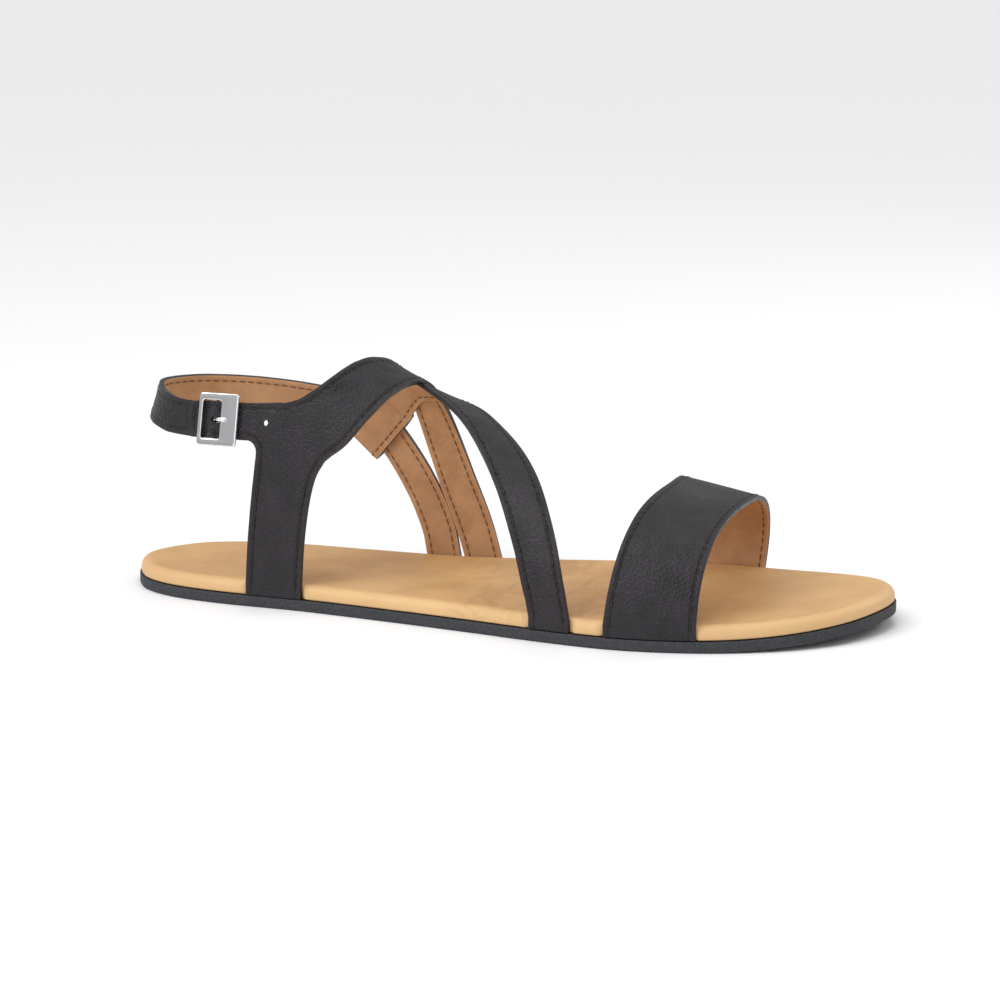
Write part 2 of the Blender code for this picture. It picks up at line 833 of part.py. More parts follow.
def make_leg_and_band(collection):
    """Leg, hub, billet and instep band, cut in one piece."""
    rows, first = leg_rows()
    last = len(rows) - 1
    rows += band_rows()
    columns = 6
    points = edge_rows(rows, columns)
    faces = grid_faces(len(rows), columns)
    start = CORNER_REAR - CORNER_RADIUS
    stations = [start - step for step in billet_steps()]
    lines = list(range(first, last + 1))
    for i in lines:
        points[i * columns] = billet_place(*rows[i].rear)
    low, high = rows[first].rear[1], rows[last].rear[1]
    size = len(stations)
    base = len(points)
    for i in lines:
        share = (rows[i].rear[1] - low) / (high - low)
        for station in stations:
            girth = tip_girth(station, low, high, share)
            points.append(billet_place(station, girth))
    for n, i in enumerate(lines[:-1]):
        faces.append(
            (i * columns, (i + 1) * columns, base + (n + 1) * size, base + n * size)
        )
        for j in range(size - 1):
            corner = base + n * size + j
            faces.append((corner, corner + 1, corner + size + 1, corner + size))
    return sheet("upper_straps", points, faces, collection, DARK)


def billet_steps():
    """Distances back from the hub corner at which the billet gets a row."""
    reach = BILLET_TIP - CORNER_RADIUS
    pin = PIN_PLACE - CORNER_RADIUS
    plain = list(np.linspace(0, pin - 1.7 * BULGE_REACH, 5)[1:-1])
    near_pin = list(pin + np.linspace(-1.7, 1.7, 9) * BULGE_REACH)
    tip = [reach - TIP_RADIUS * share for share in (0.9, 0.55, 0.25, 0.08, 0.0)]
    return plain + near_pin + tip


def tip_girth(station, low, high, share):
    """Girth across the billet, drawn in to a rounded tip."""
    end = CORNER_REAR - BILLET_TIP
    left = min((station - end) / TIP_RADIUS, 1.0)
    width = TIP_WIDTH + (1 - TIP_WIDTH) * math.sqrt(max(1 - (1 - left) ** 2, 0.0))
    middle = (low + high) / 2
    return middle + (share - 0.5) * (high - low) * width


def loop_place(reach, aside=0.0):
    """Station and girth from the inner edge, down the crossing strap from the loop middle."""
    middle = LOOP_PLACE.station * SOLE_LENGTH
    short = (1 - LOOP_PLACE.over) * whole_girth(middle)
    station = middle - reach * math.sin(LOOP_TILT) + aside * math.cos(LOOP_TILT)
    girth = -short + reach * math.cos(LOOP_TILT) + aside * math.sin(LOOP_TILT)
    return np.array([station, girth])


def make_crossing_strap(collection):
    """Strap from the outer forefoot to a folded loop on the inner ankle."""
    path = []
    for row in CROSSING:
        station = row.station * SOLE_LENGTH
        path.append((station, row.over * whole_girth(station), 0.0))
    for share in LOOP_APPROACH:
        station, girth = loop_place(share * LOOP_REACH)
        path.append((station, girth + whole_girth(station), loop_sink(share)))
    path = evenly(curve_through(path), ROW_STEP)
    slopes = np.gradient(path[:, :2], axis=0)
    half = CROSSING_WIDTH / 2
    station = CROSSING[0].station * SOLE_LENGTH
    rows = margin_rows(station - half, station + half, True)
    level = np.array([1.0, 0.0])
    for (station, girth, lift), slope in zip(path[:-1], slopes):
        square = square_to(station, girth, slope)
        share = blend(girth / CROSSING_WIDTH)
        across = (square * share + level * (1 - share)) * half
        middle = np.array([station, girth])
        rows.append(Row(middle - across, middle + across, lift))
    rows += loop_rows(half)
    columns = 4
    made = sheet(
        "crossing_strap",
        edge_rows(rows, columns),
        grid_faces(len(rows), columns),
        collection,
        None,
    )
    made.data.materials.append(material_of(DARK))
    return made


def loop_sink(share):
    """Depth under the foot shape at a share of the loop's reach, so that the loop lies flat."""
    full = LOOP_BACK[1]
    start = LOOP_APPROACH[0]
    return -LOOP_SINK * blend((share - start) / (full - start))


def loop_rows(half):
    """Rows that go down behind the heel strap, fold, and come back in front of it."""
    places = [(share * LOOP_REACH, loop_sink(share)) for share in LOOP_BACK]
    for i in range(1, 7):
        turn = i * math.pi / 6
        reach = LOOP_REACH + LOOP_RADIUS * math.sin(turn)
        places.append((reach, LOOP_RADIUS * (1 - math.cos(turn)) - LOOP_SINK))
    high = 2 * LOOP_RADIUS - LOOP_SINK
    seam = STRAP_THICKNESS + CLEARANCE - LOOP_SINK
    places += [(share * LOOP_REACH, high) for share in LOOP_FRONT]
    places.append((-LOOP_REACH - LOOP_TAIL * 0.55, (high + seam) / 2 + CLEARANCE))
    places.append((-LOOP_REACH - LOOP_TAIL, seam + CLEARANCE))
    return [
        Row(loop_place(reach, -half), loop_place(reach, half), lift, "inner")
        for reach, lift in places
    ]


def round_at(station):
    """Distance round the rim from the back of the heel to a station on the inner side."""
    return float(np.interp(station, INNER_EDGE[:, 0], INNER_LENGTH))


def loop_passage():
    """Rows of the heel strap where it runs square through the loop."""
    station = LOOP_PLACE.station * SOLE_LENGTH
    around = round_at(station)
    middle = on_foot(station, whole_girth(station) * LOOP_PLACE.over)
    lift = STRAP_THICKNESS + CLEARANCE - LOOP_SINK
    rows = []
    for reach in (CROSSING_WIDTH / 2, 0.0, -CROSSING_WIDTH / 2):
        forward = reach * math.cos(LOOP_TILT)
        fall = reach * math.sin(LOOP_TILT)
        rows.append((around + forward, middle[2] - RIM_HEIGHT - fall, lift))
    return rows


def heel_path():
    """Distance round the rim, height and lift of the heel strap, from the inner sole edge."""
    rows = []
    for row in HEEL_ANCHOR:
        around = round_at(row.station * SOLE_LENGTH)
        rows.append((around, row.height * SOLE_LENGTH, row.lift * STRAP_THICKNESS))
    rows += loop_passage()
    for row in HEEL_WRAP:
        height = row.height * BILLET_MIDDLE
        rows.append((row.round * SOLE_LENGTH, height, row.lift * STRAP_THICKNESS))
    return evenly(curve_through(rows), ROW_STEP)


def heel_frames():
    """Centre and across direction of the heel strap, from the inner sole edge to the fold."""
    path = heel_path()
    centres = [round_heel(*row) for row in path]
    frames = []
    for i, (around, height, _) in enumerate(path):
        before = centres[max(i - 1, 0)]
        after = centres[min(i + 1, len(centres) - 1)]
        along = after - before
        along /= np.linalg.norm(along)
        low = height + 2 * NUDGE
        up = round_heel(around, low + NUDGE) - round_heel(around, low)
        onward = round_heel(around + NUDGE, low) - round_heel(around - NUDGE, low)
        outward = np.cross(up, onward)
        outward /= np.linalg.norm(outward)
        square = np.cross(outward, along)
        square /= np.linalg.norm(square)
        level = onward / np.linalg.norm(onward)
        if square @ level < 0 and height < HEEL_STRAP_WIDTH:
            square = -square
        rising = around > LOOP_PLACE.station * SOLE_LENGTH
        share = blend(height / HEEL_STRAP_WIDTH) if rising else 1.0
        across = level * (1 - share) + square * share
        across /= across @ square
        frames.append((centres[i], across))
    return frames


def fold_places():
    """Along and out of the strap end that folds round the pin, from behind the buckle."""
    under = -(STRAP_THICKNESS + CLEARANCE)
    places = []
    for row in FOLD_LEAD:
        places.append((PIN_PLACE + row.behind * FOLD_RADIUS, row.level * under))
    for turn in [*range(FOLD_START, -180, -FOLD_TURN), -180]:
        angle = math.radians(turn)
        along = PIN_PLACE + FOLD_RADIUS * math.sin(angle)
        places.append((along, PIN_LEVEL + FOLD_RADIUS * math.cos(angle)))
    low = PIN_LEVEL - FOLD_RADIUS
    places += [(PIN_PLACE + share * FOLD_RADIUS, low) for share in FOLD_RETURN]
    return places


def make_heel_strap(collection, cutters):
    frames = heel_frames()
    across_billet = -BILLET.across
    half = HEEL_STRAP_WIDTH / 2
    start = round_at(HEEL_ANCHOR[0].station * SOLE_LENGTH)
    pairs = []
    for past in margin_reach() + (0.0,):
        pairs.append([round_heel(start + side * half, -past) for side in (-1, 1)])
    for centre, across in frames[1:]:
        pairs.append([centre - across * half, centre + across * half])
    for along, out in fold_places():
        centre = BILLET.at(along, 0.0, out)
        pairs.append([centre - across_billet * half, centre + across_billet * half])
    pairs = straighten(pairs)
    columns = 4
    points = []
    for low, high in pairs:
        for share in np.linspace(0, 1, columns):
            points.append(low * (1 - share) + high * share)
    made = sheet(
        "heel_strap", points, grid_faces(len(pairs), columns), collection, DARK
    )
    slot = box("prong_slot", cutters, SLOT_LENGTH, SLOT_WIDTH, CUTTER_DEPTH)
    place_in_billet(slot, PIN_PLACE + SLOT_BEHIND - SLOT_LENGTH / 2, PIN_LEVEL)
    join(made, slot, "DIFFERENCE")
    return made


def straighten(pairs):
    """Each pair with its two ends in the same order as the pair before it."""
    kept = [pairs[0]]
    for low, high in pairs[1:]:
        before = kept[-1][1] - kept[-1][0]
        kept.append([low, high] if (high - low) @ before > 0 else [high, low])
    return kept


def box(name, collection, length, width, height, finish=None):
    """Box in the billet frame's own axes: along, across, out."""
    mesh = bpy.data.meshes.new(name)
    body = bmesh.new()
    bmesh.ops.create_cube(body, size=1.0)
    bmesh.ops.scale(body, vec=(length, width, height), verts=body.verts)
    body.to_mesh(mesh)
    body.free()
    return object_from(name, mesh, collection, finish)


def place_in_billet(made, along, out, across=0.0):
    """Moves a mesh made in along, across, out axes to its place on the billet."""
    for vertex in made.data.vertices:
        x, y, z = vertex.co
        vertex.co = Vector(BILLET.at(along + x, across + y, out + z))
    turned = np.cross(BILLET.along, BILLET.across) @ BILLET.outward < 0
    if turned:
        made.data.flip_normals()


def make_buckle(collection, cutters):
    """Frame with a wide front bar, side cheeks and a hidden pin."""
    middle = BUCKLE_START + FRAME_LENGTH / 2
    plate = box("buckle_frame", collection, FRAME_LENGTH, FRAME_WIDTH, FRAME_THICKNESS, SILVER)
    place_in_billet(plate, middle, FRAME_LEVEL + FRAME_THICKNESS / 2)
    bevel(plate, FRAME_EDGE, segments=2, angle=30)
    across = BILLET_WIDTH + 2 * CLEARANCE
    window = box("buckle_window", cutters, WINDOW_LENGTH, across, CUTTER_DEPTH)
    place_in_billet(window, BUCKLE_START + FRONT_BAR + WINDOW_LENGTH / 2, FRAME_LEVEL)
    join(plate, window, "DIFFERENCE")
    for name, side in (("lower_cheek", -1), ("upper_cheek", 1)):
        join(plate, make_cheek(name, cutters, middle, side), "UNION")
    join(plate, make_pin(cutters), "UNION")
    return plate


def make_cheek(name, collection, middle, side):
    """Rounded plate under one side bar, which carries the pin."""
    top = FRAME_LEVEL + FRAME_THICKNESS / 2
    depth = top - PIN_LEVEL + PIN_RADIUS + CLEARANCE
    steps = 14
    outline = []
    for i in range(steps + 1):
        turn = math.pi * i / steps
        reach = -(FRAME_LENGTH / 2 - CHEEK_INSET) * math.cos(turn)
        outline.append((reach, top - depth * math.sin(turn) ** CHEEK_SHAPE))
    inner = FRAME_WIDTH / 2 - SIDE_BAR + CLEARANCE / 3
    points = []
    for across in (inner, inner + SIDE_BAR - CHEEK_INSET):
        points += [(x, across * side, z) for x, z in outline]
    size = len(outline)
    faces = [tuple(range(size)), tuple(range(2 * size - 1, size - 1, -1))]
    for i in range(size):
        k = (i + 1) % size
        faces.append((i, k, size + k, size + i))
    made = object_from(name, mesh_from(name, points, faces), collection)
    place_in_billet(made, middle, 0.0)
    bevel(made, CHEEK_EDGE, angle=60)
    recalculate(made)
    return made


def recalculate(made):
    body = bmesh.new()
    body.from_mesh(made.data)
    bmesh.ops.recalc_face_normals(body, faces=body.faces)
    body.to_mesh(made.data)
    body.free()


def make_pin(collection):
    mesh = bpy.data.meshes.new("buckle_pin")
    body = bmesh.new()
    bmesh.ops.create_cone(
        body,
        cap_ends=True,
        segments=16,
        radius1=PIN_RADIUS,
        radius2=PIN_RADIUS,
        depth=FRAME_WIDTH - SIDE_BAR - CHEEK_INSET,
    )
    for vertex in body.verts:
        x, y, z = vertex.co
        vertex.co = (x, z, y)
    body.to_mesh(mesh)
    body.free()
    made = object_from("buckle_pin", mesh, collection)
    place_in_billet(made, PIN_PLACE, PIN_LEVEL)
    recalculate(made)
    return made


def make_prong(collection):
    """Prong hooked round the pin, up through the billet and onto the front bar."""
    places = []
    for turn in range(200, -21, -20):
        angle = math.radians(turn)
        along = PIN_PLACE + PRONG_HOOK * math.sin(angle)
        places.append((along, PIN_LEVEL + PRONG_HOOK * math.cos(angle)))
    top = PIN_LEVEL + PRONG_HOOK
    edge = BUCKLE_START + FRONT_BAR
    for row in PRONG_RISE:
        places.append((PRONG_HOLE + row.along * PRONG_RADIUS, top + row.out * PRONG_RADIUS))
    for row in PRONG_LIE:
        places.append((edge + row.along * PRONG_RADIUS, PRONG_REST + row.out * PRONG_RADIUS))
    data = bpy.data.curves.new("prong", "CURVE")
    data.dimensions = "3D"
    data.bevel_depth = PRONG_RADIUS
    data.bevel_resolution = 2
    data.use_fill_caps = True
    data.resolution_u = 3
    spline = data.splines.new("POLY")
    spline.points.add(len(places) - 1)
    for point, (along, out) in zip(spline.points, places):
        point.co = (*BILLET.at(along, 0.0, out), 1.0)
    spline.points[-1].radius = PRONG_POINT
    guide = bpy.data.objects.new("prong_line", data)
    collection.objects.link(guide)
    bpy.context.view_layer.update()
    graph = bpy.context.evaluated_depsgraph_get()
    mesh = bpy.data.meshes.new_from_object(guide.evaluated_get(graph))
    bpy.data.objects.remove(guide)
    body = bmesh.new()
    body.from_mesh(mesh)
    bmesh.ops.remove_doubles(body, verts=body.verts, dist=WELD)
    bmesh.ops.recalc_face_normals(body, faces=body.faces)
    body.to_mesh(mesh)
    body.free()
    mesh.materials.clear()
    return object_from("buckle_prong", mesh, collection, SILVER)


def hole_cutter(name, collection, along, stretch):
    """Oval punch through the billet."""
    mesh = bpy.data.meshes.new(name)
    body = bmesh.new()
    bmesh.ops.create_cone(
        body,
        cap_ends=True,
        segments=12,
        radius1=HOLE_RADIUS,
        radius2=HOLE_RADIUS,
        depth=CUTTER_DEPTH,
    )
    bmesh.ops.scale(body, vec=(stretch, 1.0, 1.0), verts=body.verts)
    body.to_mesh(mesh)
    body.free()
    made = object_from(name, mesh, collection)
    place_in_billet(made, along, 0.0)
    recalculate(made)
    return made


def finish_shading(objects):
    for made in objects:
        mesh = made.data
        mesh.shade_smooth()
        mesh.set_sharp_from_angle(angle=math.radians(35))


def centre_all(objects):
    """Moves every mesh so that the whole stands centred on the origin."""
    bpy.context.view_layer.update()
    graph = bpy.context.evaluated_depsgraph_get()
    low = np.full(3, np.inf)
    high = -low
    for made in objects:
        mesh = made.evaluated_get(graph).to_mesh()
        points = np.array([vertex.co for vertex in mesh.vertices])
        low = np.minimum(low, points.min(axis=0))
        high = np.maximum(high, points.max(axis=0))
    shift = Vector((-(low[0] + high[0]) / 2, -(low[1] + high[1]) / 2, -low[2]))
    for made in bpy.data.objects:
        for vertex in made.data.vertices:
            vertex.co += shift


def main():
    for made in list(bpy.data.objects):
        bpy.data.objects.remove(made)
    sandal = new_collection("barefoot_sandal")
    cutters = new_collection("cutters", hidden=True)

    base = FOOTBED_BASE
    sole = sole_slab(
        "outsole",
        rounded(0.0, 0.0, OUTSOLE_THICKNESS, OUTSOLE_LOWER_EDGE, OUTSOLE_UPPER_EDGE, 2),
        sandal,
        RUBBER,
    )
    footbed = sole_slab(
        "footbed",
        rounded(FOOTBED_INSET, base, FOOTBED_TOP, FOOTBED_LOWER_EDGE, FOOTBED_UPPER_EDGE, 5),
        sandal,
        TAN,
    )
    crossing = CROSSING[0].station * SOLE_LENGTH
    band = BAND_PATH[-1].station * SOLE_LENGTH
    heel = HEEL_ANCHOR[0].station * SOLE_LENGTH
    anchors = (
        ("leg", OUTER_EDGE, *leg_edges(LEG[0])),
        ("crossing", OUTER_EDGE, crossing - CROSSING_WIDTH / 2, crossing + CROSSING_WIDTH / 2),
        ("toe_outer", OUTER_EDGE, *toe_band_edges(TOE_BAND[0])),
        ("toe_inner", INNER_EDGE, *toe_band_edges(TOE_BAND[-1])),
        ("band", INNER_EDGE, band - BAND_WIDTH / 2, band + BAND_WIDTH / 2),
        ("heel", INNER_EDGE, heel - HEEL_STRAP_WIDTH / 2, heel + HEEL_STRAP_WIDTH / 2),
    )
    for name, edge, rear, front in anchors:
        join(footbed, anchor_cutter(f"{name}_notch", edge, rear, front, cutters), "DIFFERENCE")

    toe_band = make_toe_band(sandal)
    upper = make_leg_and_band(sandal)
    join(upper, make_crossing_strap(cutters), "UNION")
    join(upper, hole_cutter("spare_hole", cutters, SPARE_HOLE, 1.0), "DIFFERENCE")
    punched = hole_cutter("prong_hole", cutters, PRONG_HOLE, HOLE_STRETCH)
    join(upper, punched, "DIFFERENCE")
    heel_strap = make_heel_strap(sandal, cutters)
    buckle = make_buckle(sandal, cutters)
    prong = make_prong(sandal)

    objects = (sole, footbed, toe_band, upper, heel_strap, buckle, prong)
    finish_shading(bpy.data.objects)
    centre_all(objects)


main()
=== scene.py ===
"""Looks of the barefoot sandal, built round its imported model.

Every strap lies on one foot shape, as in the model, with finer steps. A place on it is a
station, measured from the back of the heel, and a girth, measured over the foot from the
outer edge of the sole. Metres, +X to the toe, +Y to the inner side of the foot, +Z up.
"""

import json
import logging
import math
from collections.abc import Sequence
from dataclasses import dataclass, field
from enum import Enum
from typing import ClassVar, NamedTuple

import bmesh
import bpy
import numpy as np
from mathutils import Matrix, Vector
from mathutils.bvhtree import BVHTree
from mathutils.kdtree import KDTree

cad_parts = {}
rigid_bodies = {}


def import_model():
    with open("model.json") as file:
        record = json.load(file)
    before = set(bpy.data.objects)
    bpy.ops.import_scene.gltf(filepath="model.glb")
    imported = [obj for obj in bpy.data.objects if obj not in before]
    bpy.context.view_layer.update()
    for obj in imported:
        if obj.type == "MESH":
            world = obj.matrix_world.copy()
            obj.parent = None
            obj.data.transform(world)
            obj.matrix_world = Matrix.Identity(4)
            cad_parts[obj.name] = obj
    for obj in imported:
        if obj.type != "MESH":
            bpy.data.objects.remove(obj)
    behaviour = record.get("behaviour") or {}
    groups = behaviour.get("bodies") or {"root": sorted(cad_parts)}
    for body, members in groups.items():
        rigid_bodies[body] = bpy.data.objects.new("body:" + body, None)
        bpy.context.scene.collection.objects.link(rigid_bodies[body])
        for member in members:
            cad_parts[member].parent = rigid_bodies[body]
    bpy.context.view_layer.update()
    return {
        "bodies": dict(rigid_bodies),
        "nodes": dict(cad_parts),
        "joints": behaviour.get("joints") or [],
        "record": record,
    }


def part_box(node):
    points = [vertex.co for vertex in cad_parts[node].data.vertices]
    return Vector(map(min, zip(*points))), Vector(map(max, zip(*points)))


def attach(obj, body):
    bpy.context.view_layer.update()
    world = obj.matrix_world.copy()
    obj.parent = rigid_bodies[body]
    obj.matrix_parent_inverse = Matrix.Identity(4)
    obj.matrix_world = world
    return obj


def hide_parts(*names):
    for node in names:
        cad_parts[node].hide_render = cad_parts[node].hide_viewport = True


LOG = logging.getLogger("sandal")
MM = 0.001
SHARP = 50.0
BODY = "root"

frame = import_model()


class Measure(Enum):
    """What the girths of a row are counted from."""

    OUTER = "outer sole edge"
    INNER = "inner sole edge"
    OVER = "share of the way over"


class Face(Enum):
    """Sides of a strap, as material slots."""

    OUTSIDE = 0
    LINING = 1
    EDGE = 2


# ---------------------------------------------------------------- curves


def curve_through(points: Sequence, closed: bool = False, fine: int = 24) -> np.ndarray:
    """Dense points on a smooth curve.

    Args:
        points: Rows of coordinates that the curve passes through.
        closed: Whether the last point joins the first.
        fine: Points for each span.

    Returns:
        The curve, one row a point.
    """
    points = np.asarray(points, float)
    if closed:
        ends = np.vstack([points[-1:], points, points[:2]])
        spans = len(points)
    else:
        ends = np.vstack([2 * points[0] - points[1], points, 2 * points[-1] - points[-2]])
        spans = len(points) - 1
    knots = np.concatenate([[0.0], np.cumsum(np.linalg.norm(np.diff(ends, axis=0), axis=1))])
    t = np.linspace(0, 1, fine, endpoint=False)[:, None]
    dense = []
    for i in range(1, spans + 1):
        step = knots[i + 1] - knots[i]
        leaving = (ends[i + 1] - ends[i - 1]) / (knots[i + 1] - knots[i - 1]) * step
        arriving = (ends[i + 2] - ends[i]) / (knots[i + 2] - knots[i]) * step
        dense.append(
            (2 * t**3 - 3 * t**2 + 1) * ends[i]
            + (t**3 - 2 * t**2 + t) * leaving
            + (3 * t**2 - 2 * t**3) * ends[i + 1]
            + (t**3 - t**2) * arriving
        )
    if not closed:
        dense.append(points[-1:])
    return np.vstack(dense)


def unit(way: np.ndarray) -> np.ndarray:
    """The same direction, one long."""
    return way / np.linalg.norm(way)


def units(ways: np.ndarray) -> np.ndarray:
    """The same directions, each row one long."""
    return ways / np.linalg.norm(ways, axis=1)[:, None]


def eased(rows: np.ndarray, times: int) -> np.ndarray:
    """Rows of a ring, each drawn towards its two neighbours a number of times."""
    for _ in range(times):
        rows = (np.roll(rows, 1, axis=0) + 2 * rows + np.roll(rows, -1, axis=0)) / 4
    return rows


def run_length(points: np.ndarray) -> np.ndarray:
    """Distance from the first point to each point."""
    steps = np.linalg.norm(np.diff(points, axis=0), axis=1)
    return np.concatenate([[0.0], np.cumsum(steps)])


def evenly(points: np.ndarray, step: float) -> np.ndarray:
    """The same curve with points about one step apart."""
    length = run_length(points)
    count = max(2, round(length[-1] / step) + 1)
    at = np.linspace(0, length[-1], count)
    return np.stack([np.interp(at, length, column) for column in points.T], axis=1)


def blend(share: float) -> float:
    """Soft step from 0 to 1."""
    share = min(max(share, 0.0), 1.0)
    return share * share * (3 - 2 * share)


# ---------------------------------------------------------------- foot shape


class Outline(NamedTuple):
    """Sole edges at one station, as shares of the ball width."""

    station: float
    inner: float
    outer: float


class Height(NamedTuple):
    """Height of the foot over the rim, as shares of the sole length."""

    station: float
    height: float


OUTLINE = (
    Outline(0.030, 0.185, 0.185),
    Outline(0.080, 0.275, 0.280),
    Outline(0.160, 0.318, 0.328),
    Outline(0.280, 0.318, 0.345),
    Outline(0.400, 0.322, 0.385),
    Outline(0.520, 0.378, 0.435),
    Outline(0.620, 0.448, 0.480),
    Outline(0.710, 0.498, 0.500),
    Outline(0.800, 0.502, 0.462),
    Outline(0.880, 0.470, 0.375),
    Outline(0.940, 0.400, 0.255),
    Outline(0.980, 0.290, 0.105),
)
TOE_POINT = (1.0, 0.110)
HEIGHTS = (
    Height(0.00, 0.345),
    Height(0.16, 0.345),
    Height(0.24, 0.330),
    Height(0.29, 0.302),
    Height(0.34, 0.264),
    Height(0.40, 0.236),
    Height(0.46, 0.214),
    Height(0.52, 0.190),
    Height(0.58, 0.170),
    Height(0.64, 0.154),
    Height(0.70, 0.140),
    Height(0.76, 0.127),
    Height(0.82, 0.114),
    Height(0.90, 0.098),
    Height(1.00, 0.080),
)


@dataclass
class FootShape:
    """The last that every strap lies on, standing on the sole."""

    sole_length: float = 255 * MM
    ball_width: float = 96 * MM
    toe_spring: float = 4 * MM
    spring_start: float = 0.80
    strap_inset: float = 0.2 * MM
    thickness: float = 1.6 * MM
    rim_height: float = 7.6 * MM
    margin_height: float = 4.6 * MM
    squareness: float = 2.5
    crest_shift: float = 3 * MM
    ankle_station: float = 70 * MM
    heel_tuck: float = 0.6
    nudge: float = 0.5 * MM
    sections: dict[float, tuple] = field(default_factory=dict)

    def __post_init__(self) -> None:
        """Works out the outline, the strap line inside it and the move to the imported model."""
        inner = [(row.station, row.inner) for row in OUTLINE]
        outer = [(row.station, -row.outer) for row in reversed(OUTLINE)]
        shares = np.array([(0.0, 0.0)] + inner + [TOE_POINT] + outer)
        ring = curve_through(shares * (self.sole_length, self.ball_width), closed=True)
        ring = np.roll(ring, -int(ring[:, 0].argmin()), axis=0)
        ring[:, 0] -= ring[0, 0]
        ring[:, 0] *= self.sole_length / ring[:, 0].max()
        self.ring = ring
        last = ring + self.inward(ring) * (self.strap_inset + self.thickness / 2)
        self.inner_edge, self.outer_edge = self.sides(last)
        self.inner_length = run_length(self.inner_edge)
        self.outer_length = run_length(self.outer_edge)
        self.height_curve = curve_through(HEIGHTS)
        self.drop = self.rim_height - self.margin_height
        low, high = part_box("outsole")
        middle = (ring[:, 1].min() + ring[:, 1].max()) / 2
        self.shift = np.array([low.x, (low.y + high.y) / 2 - middle, 0.0])

    @staticmethod
    def inward(ring: np.ndarray) -> np.ndarray:
        """Unit directions into a closed outline, in plan."""
        after = np.roll(ring, -1, axis=0)
        along = units(after - np.roll(ring, 1, axis=0))
        area = (ring[:, 0] * after[:, 1] - ring[:, 1] * after[:, 0]).sum()
        return np.stack([along[:, 1], -along[:, 0]], axis=1) * (-1.0 if area > 0 else 1.0)

    @staticmethod
    def sides(ring: np.ndarray) -> tuple[np.ndarray, np.ndarray]:
        """The inner and the outer edge of an outline, each from heel to toe."""
        toe = int(ring[:, 0].argmax())
        return ring[: toe + 1], np.vstack([ring[toe:], ring[:1]])[::-1]

    @staticmethod
    def edge_at(edge: np.ndarray, station: float) -> float:
        """Distance of an edge from the middle line."""
        return float(np.interp(station, edge[:, 0], edge[:, 1]))

    def height(self, station: float) -> float:
        """Height of the foot's crest over the rim."""
        share = station / self.sole_length
        curve = self.height_curve
        return float(np.interp(share, curve[:, 0], curve[:, 1])) * self.sole_length

    def lift(self, station: float) -> float:
        """Rise of the sole towards the tip of the toe."""
        past = (station / self.sole_length - self.spring_start) / (1 - self.spring_start)
        return self.toe_spring * max(past, 0.0) ** 2

    def settle(self, station: float, y: float, z: float, side: float) -> np.ndarray:
        """Point on the foot in the model's frame. The heel draws in as it rises."""
        behind = max(self.ankle_station - station, 0.0)
        x = station + behind * self.heel_tuck * (1 - side)
        return np.array([x, y, z + self.lift(station)]) + self.shift

    def section(self, station: float) -> tuple:
        """Girths, y, z and side share of the foot section at a station."""
        key = round(station, 5)
        if key not in self.sections:
            inner = self.edge_at(self.inner_edge, station)
            outer = self.edge_at(self.outer_edge, station)
            turn = np.linspace(0, math.pi, 181)
            power = 2 / self.squareness
            side = np.sign(np.cos(turn)) * np.abs(np.cos(turn)) ** power
            rise = np.abs(np.sin(turn)) ** power
            middle = (inner + outer) / 2
            y = middle - (inner - outer) / 2 * side + self.crest_shift * rise
            z = self.rim_height + self.height(station) * rise
            girth = run_length(np.stack([y, z], axis=1))
            self.sections[key] = (girth, y, z, np.abs(side))
        return self.sections[key]

    def whole(self, station: float) -> float:
        """Girth from the outer to the inner sole edge."""
        return float(self.section(station)[0][-1])

    def on(self, station: float, girth: float) -> np.ndarray:
        """Middle of a strap on the foot, or lasted under the footbed past either edge."""
        girths, y, z, side = self.section(station)
        whole = girths[-1]
        if 0 <= girth <= whole:
            values = [float(np.interp(girth, girths, row)) for row in (y, z, side)]
            return self.settle(station, *values)
        past = -girth if girth < 0 else girth - whole
        inward = 1.0 if girth < 0 else -1.0
        edge = y[0] if girth < 0 else y[-1]
        reach = edge + inward * max(past - self.drop, 0.0)
        return self.settle(station, reach, self.rim_height - min(past, self.drop), 1.0)

    def steps(self, station: float, girth: float) -> tuple[np.ndarray, np.ndarray]:
        """Unit-rate moves on the foot along the station and along the girth."""
        nudge = self.nudge
        forward = self.on(station + nudge, girth) - self.on(station - nudge, girth)
        over = self.on(station, girth + nudge) - self.on(station, girth - nudge)
        return forward / (2 * nudge), over / (2 * nudge)

    def over(self, station: float, girth: float, lift: float = 0.0) -> np.ndarray:
        """The same place, lifted off the foot."""
        place = self.on(station, girth)
        if not lift:
            return place
        forward, over = self.steps(station, girth)
        outward = np.cross(over, forward)
        return place - lift * outward / np.linalg.norm(outward)

    def square_to(self, station: float, girth: float, direction: np.ndarray) -> np.ndarray:
        """Direction on the foot square to another, of true unit length."""
        axes = np.stack(self.steps(station, girth))
        pull = axes @ (direction @ axes)
        square = np.array([pull[1], -pull[0]])
        return square / np.linalg.norm(square @ axes)

    def round_at(self, station: float) -> float:
        """Distance round the rim from the back of the heel, on the inner side."""
        return float(np.interp(station, self.inner_edge[:, 0], self.inner_length))

